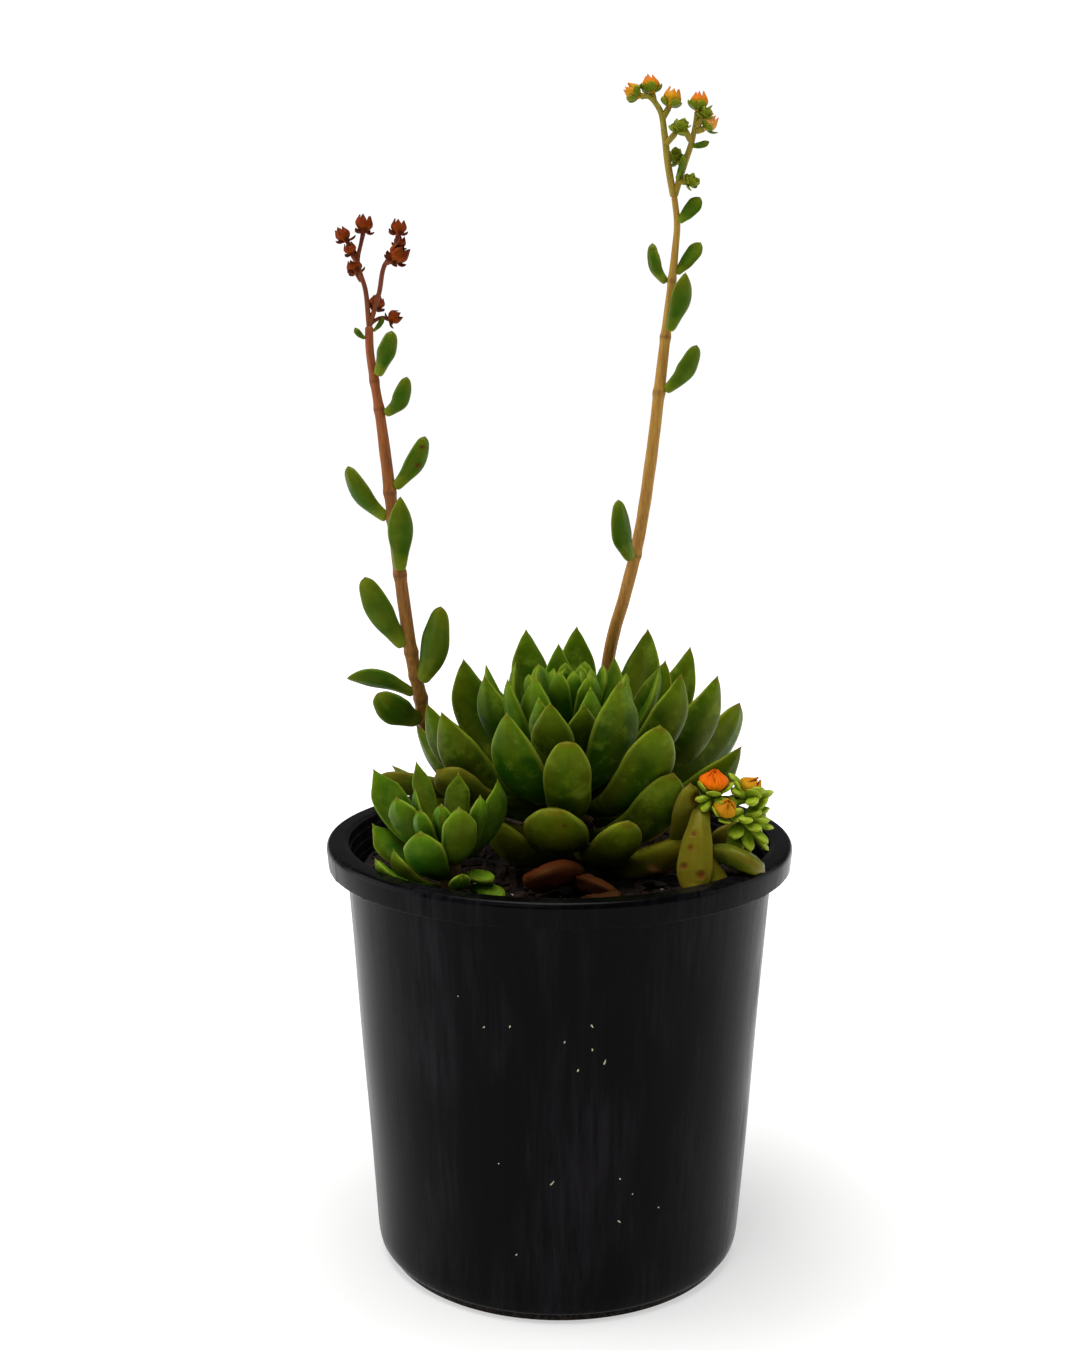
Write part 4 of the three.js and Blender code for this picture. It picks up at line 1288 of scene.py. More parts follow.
@dataclass
class Rosette:
    """A rosette: its stem and the leaves that grow from it."""

    stem_node: str
    prefix: str
    finish: LeafFinish
    slot: Slot
    bark: bpy.types.Material
    old_below_mm: float
    scars: dict[str, tuple[Scar, ...]] = field(default_factory=dict)
    # Shares of width, length and thickness, for all the leaves and for single ones.
    shares: tuple[float, float, float] = (1.0, 1.0, 1.0)
    own_shares: dict[str, tuple[float, float, float]] = field(default_factory=dict)
    own_finishes: dict[str, LeafFinish] = field(default_factory=dict)
    spike_mm: float = 0.8
    drawn_in: float = 0.1
    rounded: tuple[str, ...] = ()  # leaves whose tips are round

    def build(self) -> None:
        """Builds the stem, then every leaf whose node's name starts with the rosette's prefix."""
        axis = stem_axis(self.stem_node)
        low, high = (np.array(corner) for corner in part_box(self.stem_node))
        radius = (high[0] - low[0]) / 2
        radii = radius * np.interp(np.linspace(0, 1, 12), [0, 0.3, 1], [1, 1, 0.58])
        scars = np.linspace(0.3, 0.95, 7) * (high[2] - low[2])
        stem = Rod(axis, radii, scars, sides=28, ridge=0.06, seed=4)
        stem.skin().piece(f"{self.stem_node}_bark", self.bark, Slot.STALK, self.stem_node)
        leather = self.finish.material()
        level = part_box("pot")[1].z
        for node in sorted(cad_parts):
            if not node.startswith(self.prefix):
                continue
            tip_height = (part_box(node)[1].z - level) / MM
            luck = np.random.default_rng(zlib.crc32(node.encode())).uniform(0, 0.22)
            old = 0.45 * float(1 - ramp(np.array(tip_height), 0, self.old_below_mm))
            leaf = Leaf.of_node(
                node, axis, age=old + luck, scars=self.scars.get(node, ()),
                spike_mm=self.spike_mm, drawn_in=self.drawn_in,
            )
            if node in self.rounded:
                leaf = replace(leaf, tip_power=ROUND_TIP, drawn_in=0.0, spike_mm=0.1)
            shaped = leaf.slimmed(*self.own_shares.get(node, self.shares))
            own = self.own_finishes.get(node)
            shaped.skin().piece(f"{node}_flesh", own.material() if own else leather, self.slot, node)


@dataclass
class Crown:
    """The heart of the main rosette: young leaves, each a golden angle on from the last, the half-grown
    leaves round them, and large leaves round the back.
    """

    buds: int = 15
    foot_above_stem_mm: float = 2.0
    # Half-grown leaves round the heart: tip from the stem's axis and the level of the mix, and width.
    half_grown: tuple[tuple[float, float, float, float], ...] = (
        (26, -2, 60, 8.5), (13, 11, 61, 9.5), (-4, 17, 64, 10), (-19, -16, 59, 9), (-11, -17, 60, 12),
        (-10, -28, 56, 9), (-26, 9, 59, 10), (16, -14, 58, 8), (5, -17, 57, 8.5), (-17, 2, 61, 9),
    )

    # Leaves round the back, between the two stalks, listed the same way.
    rear: tuple[tuple[float, float, float, float], ...] = (
        (-27, 30, 52, 13), (13, 37, 55, 13.5), (34, 24, 50, 13), (-6, 40, 47, 13), (-38, 12, 42, 12),
        (4, 41, 30, 12), (-27, 34, 30, 12), (29, 34, 32, 12),
    )
    # Height of a leaf's foot above the mix; a rear leaf's also rises by a share of its tip's height.
    half_grown_foot_mm: float = 29.0
    rear_foot_mm: float = 15.0
    rear_foot_rise: float = 0.15

    def leaves(self) -> list[Leaf]:
        """Lays out the leaves.

        A leaf of age n leans out by a few degrees more than the last and is a little longer, wider and
        thicker. The half-grown ones and the rear ones stand where they are listed.

        Returns:
            The young leaves, youngest first, then the half-grown ones, then the rear ones.
        """
        axis = stem_axis("main_stem")
        stem_top = axis[-1] / MM
        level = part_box("pot")[1].z / MM - PottingMix.drop_mm
        made = []
        for age in range(self.buds):
            heading, lean = age * GOLDEN_ANGLE, math.radians(5 + 2.3 * age)
            length = 15 + 0.9 * age
            out = np.array([math.cos(heading), math.sin(heading), 0])
            foot = stem_top + (self.foot_above_stem_mm + 9 - 0.55 * age) * UP + 1.0 * out
            tip = foot + length * (math.sin(lean) * out + math.cos(lean) * UP)
            made.append(Leaf.between(
                f"crown_leaf_{age}", foot, tip, 4.6 + 0.36 * age, 3.0 + 0.1 * age, 1 + 0.12 * age,
                outline=BLUNT, age=0.0, stations=24, sides=20, pocks=2, spike_mm=0.4, drawn_in=0.25,
            ))
        for number, (x, y, z, width) in enumerate((*self.half_grown, *self.rear)):
            tip = np.array([axis[0, 0] / MM + x, axis[0, 1] / MM + y, level + z])
            out = unit(np.array([x, y, 0.0]))
            behind = number >= len(self.half_grown)
            start = self.rear_foot_mm + self.rear_foot_rise * z if behind else self.half_grown_foot_mm
            foot = np.array([axis[0, 0] / MM, axis[0, 1] / MM, level + start]) + 4.2 * out
            made.append(Leaf.between(
                f"half_grown_leaf_{number}", foot, tip, width, 5.2 if behind else 4.2, 4.5,
                age=0.15 if behind else 0.03, stations=34, sides=26, pocks=4,
            ))
        return made

    def build(self, finish: bpy.types.Material, old: bpy.types.Material) -> None:
        """Builds the heart as a piece of young leaves, one of half-grown ones and one of rear ones.

        Args:
            finish: The young leaves' finish.
            old: The rear leaves' finish.
        """
        skins = [leaf.skin() for leaf in self.leaves()]
        full = self.buds + len(self.half_grown)
        young, grown, rear = skins[: self.buds], skins[self.buds : full], skins[full:]
        Skin.merged(young).piece("crown_leaves", finish, Slot.LEAF, "crown_bud")
        Skin.merged(grown).piece("half_grown_leaves", finish, Slot.LEAF, "crown_bud")
        Skin.merged(rear).piece("rear_leaves", old, Slot.LEAF)


@dataclass
class FlowerStalk:
    """One of the two tall stalks with its fleshy leaves."""

    side: str
    bark: bpy.types.Material
    flesh: bpy.types.Material
    scars: dict[int, tuple[Scar, ...]] = field(default_factory=dict)
    slim: float = 0.9  # the bark's radius as a share of the solid's
    drawn_top: float = 0.3  # how much narrower than that the stalk gets at its top
    # Leaflets too small for a solid of their own: foot and tip as offsets from the stalk's top, mm.
    leaflets: tuple[tuple[tuple[float, float, float], tuple[float, float, float], float], ...] = ()

    def build(self) -> Array:
        """Builds the stalk and its leaves.

        Returns:
            The point where the flower head's branches start, in millimetres.
        """
        stalk = f"{self.side}_flower_stalk"
        rod = rod_of_node(stalk)
        leaves = []
        for node in sorted(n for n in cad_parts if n.startswith(f"{self.side}_stalk_leaf_")):
            number = int(node.rsplit("_", 1)[1])
            leaf = Leaf.of_node(
                node, rod.points, age=0.12, wrinkle=0.025, scars=self.scars.get(number, ()), spike_mm=0.2,
                drawn_in=0.32, drawn_from=0.45,
            )
            leaves.append(leaf)
        rod = rod_of_node(stalk, [leaf.spine[0] for leaf in leaves], seed=len(leaves))
        narrowed = self.drawn_top * ramp(np.linspace(0, 1, len(rod.radii)), 0.7, 1)
        rod.radii = rod.radii * self.slim * (1 - narrowed)
        rod.skin().piece(f"{stalk}_bark", self.bark, Slot.STALK, stalk)
        for leaf in leaves:
            nearest = rod.points[np.linalg.norm(rod.points - leaf.spine[0], axis=1).argmin()]
            grown = leaf.rooted(leaf.spine[0] + 0.5 * (nearest - leaf.spine[0]))
            grown.skin().piece(f"{leaf.name}_flesh", self.flesh, Slot.STALK_LEAF, leaf.name)
        top = rod.points[-1] / MM
        if self.leaflets:
            skins = [
                Leaf.between(f"{self.side}_leaflet_{n}", top + foot, top + tip, width, 1.6, 0.4, roll=68,
                             stations=18, sides=16, pocks=1, spike_mm=0.2, outline=BLUNT).skin()
                for n, (foot, tip, width) in enumerate(self.leaflets)
            ]
            Skin.merged(skins).piece(f"{self.side}_stalk_leaflets", self.flesh, Slot.STALK_LEAF)
        return top


class Bloom(Enum):
    """What stands at the end of a branch."""

    DRIED = "dried"
    ORANGE = "orange"
    YELLOW = "yellow"
    PEACH = "peach"
    GREEN = "green"


@dataclass
class Flower:
    """One flower: five upright petals round a core, in a cup of five fleshy sepals."""

    seat_mm: Array
    axis: Array
    radius_mm: float
    kind: Bloom
    seed: int
    opening: float = 1.0

    def petal(self, heading: float, rng: np.random.Generator, open_share: float, tall: float) -> Skin:
        """Works out one petal.

        It is a thin blade wrapped round the flower's axis. Its distance from the axis swells to the
        bud's radius by a third of its height and closes towards the tip, less where the flower is
        open; its width in angle is full at the middle and runs out to a point.

        Args:
            heading: The angle of its middle.
            rng: The source of small differences.
            open_share: 0 for a closed bud, 1 for an open flower.
            tall: Its height as a multiple of the radius.

        Returns:
            The closed blade, with its "growth" values.
        """
        first, second = across_of(self.axis)
        radius = self.radius_mm * MM
        at = np.linspace(0.02, 0.985, 16)[:, None]
        turn = np.linspace(0, 2 * math.pi, 14, endpoint=False)[None]
        x, s = np.cos(turn), np.sin(turn)
        swell = 0.35 + 0.65 * ramp(at, -0.15, 0.42)
        closing = 1 - (0.82 + 0.14 * (1 - self.opening) - 0.72 * open_share) * ramp(at, 0.45, 1.05)
        reach = radius * swell * closing * rng.uniform(0.94, 1.04)
        width = math.radians(46) * (1 - at**4.5) ** 0.75 * (0.75 + 0.25 * ramp(at, 0, 0.3))
        angle = heading - x * width + 0.1 * open_share * at
        crease = 0.06 * radius * (1 - np.abs(x)) * ramp(at, 0.1, 0.6)
        out = reach + s * 0.06 * radius + crease + 0.035 * radius * ripples(rng, (at, x), 4, 7.0)
        rise = radius * tall * rng.uniform(0.93, 1.06) * at - 0.2 * radius * np.abs(x) * at
        seat = self.seat_mm * MM
        rings = (
            seat
            + rise[..., None] * self.axis
            + (out * np.cos(angle))[..., None] * first
            + (out * np.sin(angle))[..., None] * second
        )
        tone = float(rng.uniform(0, 0.25))
        growth = np.stack(np.broadcast_arrays(at, np.abs(x), 0 * at + tone), -1)
        tip = rings[-1].mean(0) + 0.04 * radius * self.axis
        return Skin.closed(rings, rings[0].mean(0), tip, growth=growth)

    def core(self) -> Skin:
        """Works out the seed cases at the heart: a five-lobed egg."""
        first, second = across_of(self.axis)
        radius = 0.62 * self.radius_mm * MM
        polar = np.linspace(0, math.pi, 11)[1:-1, None]
        turn = np.linspace(0, 2 * math.pi, 20, endpoint=False)[None]
        lobes = radius * (1 + 0.12 * np.cos(5 * turn)) * np.sin(polar)
        centre = self.seat_mm * MM + 0.9 * radius * self.axis
        rings = (
            centre
            - (1.35 * radius * np.cos(polar))[..., None] * self.axis
            + (lobes * np.cos(turn))[..., None] * first
            + (lobes * np.sin(turn))[..., None] * second
        )
        growth = np.stack(np.broadcast_arrays(0.3 + 0 * polar, 0.4 + 0 * turn, 0.5 + 0 * turn), -1)
        ends = [centre + end * 1.35 * radius * self.axis for end in (-1, 1)]
        return Skin.closed(rings, ends[0], ends[1], growth=growth)

    def sepals(self, spread: float, length: float, width: float, count: int = 5) -> list[Skin]:
        """Lays the sepals round the seat, leaning out by spread degrees from the flower's axis."""
        rng = np.random.default_rng(self.seed + 500)
        first, second = across_of(self.axis)
        skins = []
        for number in range(count):
            heading = 2 * math.pi * (number + 0.5) / count + rng.uniform(-0.2, 0.2)
            out = math.cos(heading) * first + math.sin(heading) * second
            lean = math.radians(spread * rng.uniform(0.8, 1.2))
            foot = self.seat_mm + 0.25 * self.radius_mm * out
            way = math.sin(lean) * out + math.cos(lean) * self.axis
            tip = foot + self.radius_mm * length * rng.uniform(0.85, 1.15) * way
            leaf = Leaf.between(
                f"sepal_{self.seed}_{number}", foot, tip, self.radius_mm * width, 0.36 * self.radius_mm,
                0.16 * self.radius_mm, stations=14, sides=12, pocks=0, spike_mm=0.1, age=0.05,
            )
            leaf.across = unit(np.cross(self.axis, out))
            skins.append(leaf.skin())
        return skins

    def petals(self) -> list[Skin]:
        """Lays the petals round the core: dried ones curled open, the others closed or half closed."""
        rng = np.random.default_rng(self.seed)
        open_share = {Bloom.DRIED: 0.5, Bloom.ORANGE: 0.28, Bloom.YELLOW: 0.4, Bloom.PEACH: 0.35,
                      Bloom.GREEN: 0.0}[self.kind]
        tall = {Bloom.DRIED: 2.0, Bloom.GREEN: 1.2}.get(self.kind, 1.75 + 0.45 * self.opening)
        skins = [self.core()]
        for number in range(5):
            heading = 2 * math.pi * number / 5 + rng.uniform(-0.12, 0.12)
            share = open_share * self.opening * rng.uniform(0.6, 1.5)
            skins.append(self.petal(heading, rng, share, tall))
        return skins


@dataclass(frozen=True)
class Branch:
    """A pedicel and its flower: points in millimetres from the head's foot."""

    points: tuple[tuple[float, float, float], ...]
    radius: float
    kind: Bloom
    thick: float = 0.75
    opening: float = 1.0


@dataclass(frozen=True)
class Tuft:
    """Fleshy bracts crowded round a point, on the side that a heading and a rise point to.

    Attributes:
        centre: Where they grow from, in millimetres from the head's foot.
        heading: The middle of their headings, in degrees from +X.
        spread: How far their headings reach to either side.
        rises: Their lowest and highest lean from level, in degrees.
        count: How many there are.
        length: The middle of their lengths, in millimetres.
    """

    centre: tuple[float, float, float]
    heading: float
    spread: float
    rises: tuple[float, float]
    count: int
    length: float

    def skins(self, foot_mm: Array, seed: int) -> list[Skin]:
        """Lays the bracts, evenly mixed over the headings and rises and jittered by a few degrees."""
        rng = np.random.default_rng(seed)
        laid = []
        for number in range(self.count):
            share = (number * (math.sqrt(5) - 1) / 2) % 1
            turn = math.radians(self.heading + self.spread * (2 * share - 1) + rng.uniform(-9, 9))
            level = (number + 0.5) / self.count
            rise = math.radians(self.rises[0] + level * (self.rises[1] - self.rises[0]))
            way = np.array([math.cos(turn) * math.cos(rise), math.sin(turn) * math.cos(rise), math.sin(rise)])
            root = foot_mm + np.array(self.centre) + 1.2 * way
            tip = root + self.length * rng.uniform(0.75, 1.2) * way
            laid.append(Leaf.between(
                f"bract_{seed}_{number}", root, tip, self.length * rng.uniform(0.46, 0.6), 2.4, -0.5,
                rng.uniform(-25, 25), BLUNT, age=0.0, stations=20, sides=18, pocks=1, spike_mm=0.4,
                drawn_in=0.25,
            ).skin())
        return laid


@dataclass
class FlowerHead:
    """A branched head of flowers."""

    name: str
    node: str
    foot_mm: Array
    branches: tuple[Branch, ...]
    bark: bpy.types.Material
    petal_finishes: dict[Bloom, bpy.types.Material]
    sepal_finish: bpy.types.Material
    petal_slot: Slot
    sepal_slot: Slot
    sepal_form: tuple[float, float, float] = (58, 1.25, 1.1)
    tufts: tuple[Tuft, ...] = ()

    def build(self) -> None:
        """Builds the pedicels as one piece, the petals as one piece a colour, and the sepals as one."""
        rods, sepals = [], []
        petals: dict[Bloom, list[Skin]] = {}
        for number, branch in enumerate(self.branches):
            path = (self.foot_mm + np.array(branch.points)) * MM
            way = unit(path[-1] - path[-2])
            axis = unit(way + 0.5 * UP)
            seat = path[-1] / MM - 0.75 * branch.radius * axis
            line = np.concatenate([path[:-1], [seat * MM]])
            radii = np.interp(np.linspace(0, 1, len(line)), [0, 0.8, 1], [1.25, 0.95, 1.25])
            rods.append(Rod(line, radii * branch.thick * MM, sides=12, step=0.7 * MM, ridge=0.08,
                            seed=number).skin())
            seed = zlib.crc32(self.name.encode()) % 1000 + number
            flower = Flower(seat, axis, branch.radius, branch.kind, seed, branch.opening)
            petals.setdefault(branch.kind, []).extend(flower.petals())
            spread, length, width = self.sepal_form
            if branch.kind is Bloom.GREEN:
                sepals += flower.sepals(spread * 0.4, length * 1.25, width * 1.2)
                sepals += flower.sepals(spread * 1.35, length * 1.1, width, count=4)
            else:
                sepals += flower.sepals(spread, length, width)
        for number, tuft in enumerate(self.tufts):
            sepals += tuft.skins(self.foot_mm, 40 + number)
        Skin.merged(rods).piece(f"{self.name}_pedicels", self.bark, Slot.STALK, self.node)
        for kind, skins in petals.items():
            finish = self.petal_finishes[kind]
            Skin.merged(skins).piece(f"{self.name}_{kind.value}_petals", finish, self.petal_slot, self.node)
        Skin.merged(sepals).piece(f"{self.name}_sepals", self.sepal_finish, self.sepal_slot, self.node)


@dataclass(frozen=True)
class LooseLeaf:
    """A leaf that has no solid of its own: foot and tip in millimetres from the pot's axis and the mix."""

    name: str
    foot: tuple[float, float, float]
    tip: tuple[float, float, float]
    width: float
    thickness: float
    bow: float = 2.0
    roll: float = 0.0
    age: float = 0.3
    wrinkle: float = 0.03
    blunt: bool = False
    scars: tuple[Scar, ...] = ()

    def skin(self, level_mm: float) -> Skin:
        """Returns the leaf's surface, with heights taken from the level of the mix."""
        lift = np.array([0, 0, level_mm])
        return Leaf.between(
            self.name, np.array(self.foot) + lift, np.array(self.tip) + lift, self.width, self.thickness,
            self.bow, self.roll, BLUNT if self.blunt else POINTED, age=self.age, wrinkle=self.wrinkle,
            scars=self.scars,
        ).skin()


# ---------------------------------------------------------------------------------------------------
# Studio
# ---------------------------------------------------------------------------------------------------


@dataclass
class Studio:
    """A plain pale floor that glows with painted light, soft lights and the camera."""

    camera_mm: tuple[float, float, float] = (-5.67, -538.5, 276.1)
    pitch: float = 10.2
    lens_mm: float = 48.88
    floor_size: float = 6.0
    # Strength of the surroundings as they light the part, and as the camera sees them.
    surroundings: tuple[float, float] = (0.12, 1.05)
    aim: tuple[float, float, float] = (0, 0, 0.16)
    # Name, place and side in metres, and watts.
    lights: tuple[tuple[str, tuple[float, float, float], float, float], ...] = (
        ("overhead_softbox", (-0.1, -0.1, 1.25), 0.8, 15),
        ("left_softbox", (-1.0, 0.1, 0.35), 0.8, 5),
        ("right_softbox", (1.0, 0.15, 0.35), 0.8, 3.3),
        ("front_fill", (-0.6, -1.3, 1.1), 0.7, 2.4),
    )

    def light(
        self, name: str, place: Sequence[float], size: float, watts: float, aim: Sequence[float]
    ) -> None:
        """Hangs one square soft light.

        Args:
            name: The light's name.
            place: Where it hangs, in metres.
            size: The length of its side, in metres.
            watts: Its power.
            aim: The point that it faces.
        """
        lamp = bpy.data.lights.new(name, "AREA")
        lamp.shape = "SQUARE"
        lamp.size = size
        lamp.energy = watts
        hung = bpy.data.objects.new(name, lamp)
        bpy.context.scene.collection.objects.link(hung)
        hung.location = place
        away = np.array(place, float) - np.array(aim, float)
        lean = math.acos(away[2] / np.linalg.norm(away))
        hung.rotation_euler = (lean, 0, math.atan2(away[1], away[0]) + math.pi / 2)

    def build(self) -> None:
        """Sets up the floor, the surroundings, the lights and the camera."""
        half = self.floor_size / 2
        mesh = bpy.data.meshes.new("floor")
        corners = [(-half, -half, 0), (half, -half, 0), (half, half, 0), (-half, half, 0)]
        mesh.from_pydata(corners, [], [(0, 1, 2, 3)])
        graph = Graph("pale_floor")
        place = graph.add("ShaderNodeTexCoord").outputs["Object"]
        away = graph.add("ShaderNodeVectorMath", {0: place}, operation="LENGTH").outputs["Value"]
        # The floor glows, at half strength by the pot and full strength 0.6 m out: painted light that keeps
        # it white and also lights the pot from below.
        glow = graph.spread(away, (0.07, 0.6), (0.5, 1.0), interpolation_type="SMOOTHSTEP")
        shader = graph.add(
            "ShaderNodeBsdfPrincipled",
            {
                "Base Color": linear("#c6c5c4"),
                "Roughness": 0.9,
                "Specular IOR Level": 0.1,
                "Emission Color": (1.0, 1.0, 1.0, 1.0),
                "Emission Strength": glow,
            },
        )
        mesh.materials.append(graph.finish(shader))
        floor = bpy.data.objects.new("floor", mesh)
        bpy.context.scene.collection.objects.link(floor)
        floor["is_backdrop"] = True

        world = bpy.data.worlds.new("studio")
        world.use_nodes = True
        bpy.context.scene.world = world
        tree = world.node_tree
        seen = tree.nodes.new("ShaderNodeLightPath")
        strength = tree.nodes.new("ShaderNodeMapRange")
        strength.inputs["To Min"].default_value = self.surroundings[0]
        strength.inputs["To Max"].default_value = self.surroundings[1]
        tree.links.new(seen.outputs["Is Camera Ray"], strength.inputs["Value"])
        background = tree.nodes["Background"]
        background.inputs["Color"].default_value = (1, 1, 1, 1)
        tree.links.new(strength.outputs[0], background.inputs["Strength"])

        for name, place, size, watts in self.lights:
            self.light(name, place, size, watts, self.aim)

        camera = bpy.data.cameras.new("camera")
        camera.lens = self.lens_mm
        camera.sensor_width = 36
        holder = bpy.data.objects.new("camera", camera)
        bpy.context.scene.collection.objects.link(holder)
        holder.location = np.array(self.camera_mm) * MM
        holder.rotation_euler = (math.radians(90 - self.pitch), 0, 0)
        bpy.context.scene.camera = holder
        bpy.context.scene.view_settings.view_transform = "Standard"


def main() -> None:
    """Builds every sub-assembly in order."""
    logging.basicConfig(level=logging.INFO, format="%(name)s: %(message)s")
    Studio().build()
    NurseryPot().build()
    mix = PottingMix()
    mix.build()
    level_mm = mix.level / MM

    stem_bark = StalkFinish("weathered_stem_bark", "#4b3320", "#6f5a30", "#2c1d11").material()
    pink_bark = StalkFinish("pinkish_stalk_bark", "#8c7420", "#914a24", "#5e2c14").material()
    red_bark = StalkFinish("dried_red_pedicel_bark", "#7c4420", "#6e2c18", "#4a1a0e").material()
    tan_bark = StalkFinish("tan_stalk_bark", "#b07832", "#a08030", "#84501f").material()
    green_bark = StalkFinish("greenish_pedicel_bark", "#967c28", "#86801f", "#6e5a1a").material()
    deep = LeafFinish("deep_green_leaf_skin")
    bright = LeafFinish("bright_green_leaf_skin", shade="#102a05", body="#224a08", tip="#50740f",
                        margin="#84982a", wax_share=0.2)
    # On the stalk leaves the colour at the foot is the leaf's own paler yellow-green, not shade.
    stalk_leaf = LeafFinish("stalk_leaf_skin", shade="#6c7c1a", body="#2f500a", tip="#55640f",
                            margin="#6f8226", wax_share=0.14).material()
    fresh = LeafFinish("young_leaf_skin", shade="#16330a", body="#2e580b", tip="#628216").material()

    Rosette(
        "main_stem", "leaf_", deep, Slot.LEAF, stem_bark, 38,
        scars={
            "leaf_front_scarred": tuple(
                Scar(along, across, upper, size, 0.45)
                for along, across, size in ((0.62, 0.3, 2.0), (0.72, 0.1, 1.7), (0.8, 0.35, 1.6),
                                            (0.88, 0.0, 1.2), (0.55, -0.2, 1.1), (0.68, -0.6, 1.6))
                for upper in (True, False)
            ),
            "leaf_front_round": (Scar(0.9, 0.5, False, 0.5, 0.1),),
        },
        rounded=("leaf_front_middle", "leaf_front_round"),
        own_shares={"leaf_front_scarred": (1.3, 1.02, 1.6), "leaf_front_middle": (0.86, 1.0, 1.0),
                    "leaf_front_low_right": (1.08, 1.0, 1.1)},
        # The scarred leaf's olive skin and tan scars are its own colours, painted lighter still: painted
        # light against the shadow of the leaves above it.
        own_finishes={"leaf_front_scarred": replace(
            deep, name="scarred_leaf_skin", body="#7c7f18", tip="#a08a20", scar="#f0b060", shade="#5a6010"
        )},
    ).build()
    Crown().build(fresh, deep.material())
    Rosette("offset_stem", "offset_leaf_", bright, Slot.YOUNG, stem_bark, 12, shares=(0.84, 0.93, 1.0),
            drawn_in=0.3).build()

    brown_spot = {7: (Scar(0.55, 0.2, False, 0.7), Scar(0.85, -0.1, False, 0.6))}
    left_top = FlowerStalk(
        "left", pink_bark, stalk_leaf, brown_spot, 1.02, 0.28,
        leaflets=(((-1, 0, -4), (-4, 0, -1), 2.0), ((1, 0, -2), (4, 1, 2), 1.6)),
    ).build()
    right_top = FlowerStalk(
        "right", tan_bark, stalk_leaf, {}, 0.98, 0.42,
        leaflets=(((0.5, 0, -23), (8, -1, -14), 5.0), ((4.5, 0, 14), (10, -1, 15), 2.2),
                  ((1, -1, -8), (7.5, -2, -1), 5.0), ((0.5, -1, 4), (2.5, -3, 11), 3.2)),
    ).build()

    golden = PetalFinish("golden_orange_petal", "#9c841a", "#c2700c", "#bc4c08", "#c4800c").material()
    dried = PetalFinish("dried_flower_tissue", "#8a4412", "#661806", "#300a04", "#9c4c16", roughness=0.6,
                        light_through=0.02).material()
    orange = PetalFinish("orange_petal", "#d2960f", "#dc5a04", "#cc3602", "#e08c0c").material()
    yellow = PetalFinish("yellow_petal", "#8f8a18", "#bd8a14", "#bf7412", "#a8540e").material()
    peach = PetalFinish("peach_petal", "#b8984a", "#cc8c42", "#c46a2e", "#d8a868").material()
    sepal = LeafFinish("sepal_skin", shade="#5a7614", body="#748f18", tip="#99ab2a", margin="#b0bf48",
                       wax_share=0.12, burn="#99ab2a").material()
    sepal_of_stalk = LeafFinish("stalk_sepal_skin", shade="#46580f", body="#5c6c12", tip="#7c7f1c",
                                margin="#8c8f2c", wax_share=0.12, burn="#7c7f1c").material()
    green_bud = PetalFinish("green_bud", "#56640f", "#6f7516", "#8a7a1c", "#54560f").material()
    dry_sepal = PetalFinish("dried_sepal", "#54200c", "#4c1408", "#280a05", "#7a3a18", roughness=0.7,
                            light_through=0.02).material()
    blooms = {Bloom.ORANGE: orange, Bloom.YELLOW: yellow, Bloom.PEACH: peach, Bloom.GREEN: green_bud,
              Bloom.DRIED: dried}
    FlowerHead(
        "left_seed_head", "left_seed_head", left_top,
        (
            Branch(((0, 0, -1), (-1, 0, 10), (-3, 0, 18), (-2, 1, 23), (-1, 1, 28)), 2.4, Bloom.DRIED, 0.6),
            Branch(((-3, 0, 17), (-4, 0, 21), (-7, 0, 25)), 2.1, Bloom.DRIED, 0.5),
            Branch(((-3, 0, 17), (-5, -1, 21)), 1.7, Bloom.DRIED, 0.5),
            Branch(((-2, 0, 12), (-4, 1, 16)), 2.1, Bloom.DRIED, 0.5),
            Branch(((0, 0, -1), (3, 0, 9), (5, -1, 17), (8, -1, 21), (9, -1, 27)), 2.2, Bloom.DRIED, 0.6),
            Branch(((5, -1, 17), (9, -3, 19.5)), 2.7, Bloom.DRIED, 0.5),
            Branch(((6, -1, 18), (9, 1, 23)), 1.7, Bloom.DRIED, 0.5),
            Branch(((0, 0, 1), (2, 3, 6)), 2.1, Bloom.DRIED, 0.5),
            Branch(((0, 0, 0), (4, 2, 2), (7, 2, 2)), 1.9, Bloom.DRIED, 0.5),
        ),
        red_bark, blooms, dry_sepal, Slot.DRIED, Slot.DRIED, (75, 1.15, 0.9),
    ).build()
    FlowerHead(
        "right_flower_head", "right_flower_head", right_top,
        (
            Branch(((0, 0, -1), (-2, 0, 9), (-3, 0, 17), (-5, 0, 25), (-8, 0, 28), (-12, 0, 29)), 2.3,
                   Bloom.YELLOW, 0.85),
            Branch(((-6, 0, 26), (-7, 1, 31)), 2.4, Bloom.ORANGE),
            Branch(((-4, 0, 21), (-1, 0, 27)), 2.5, Bloom.YELLOW),
            Branch(((-3, 0, 14), (1, -2, 19)), 2.1, Bloom.GREEN),
            Branch(((0, 0, -1), (3, 0, 9), (5, 0, 15), (6, 0, 20), (7, 0, 26)), 2.5, Bloom.ORANGE, 0.8),
            Branch(((6, 0, 18), (10, -1, 20)), 2.2, Bloom.PEACH),
            Branch(((3, 0, 8), (1, 3, 11)), 2.0, Bloom.GREEN),
            Branch(((1, 0, 4), (5, -2, 4)), 2.0, Bloom.GREEN),
            Branch(((5, 0, 15), (2, -2, 20)), 1.6, Bloom.GREEN),
            Branch(((6, 0, 19), (9, -2, 23)), 1.6, Bloom.GREEN),
        ),
        green_bark, {**blooms, Bloom.ORANGE: golden}, sepal_of_stalk, Slot.BUD, Slot.YOUNG, (52, 1.45, 1.25),
    ).build()
    corner = np.array(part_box("short_flower_head")[0]) / MM
    short_foot = corner + np.array([-1.2, 6.2, 11.0])
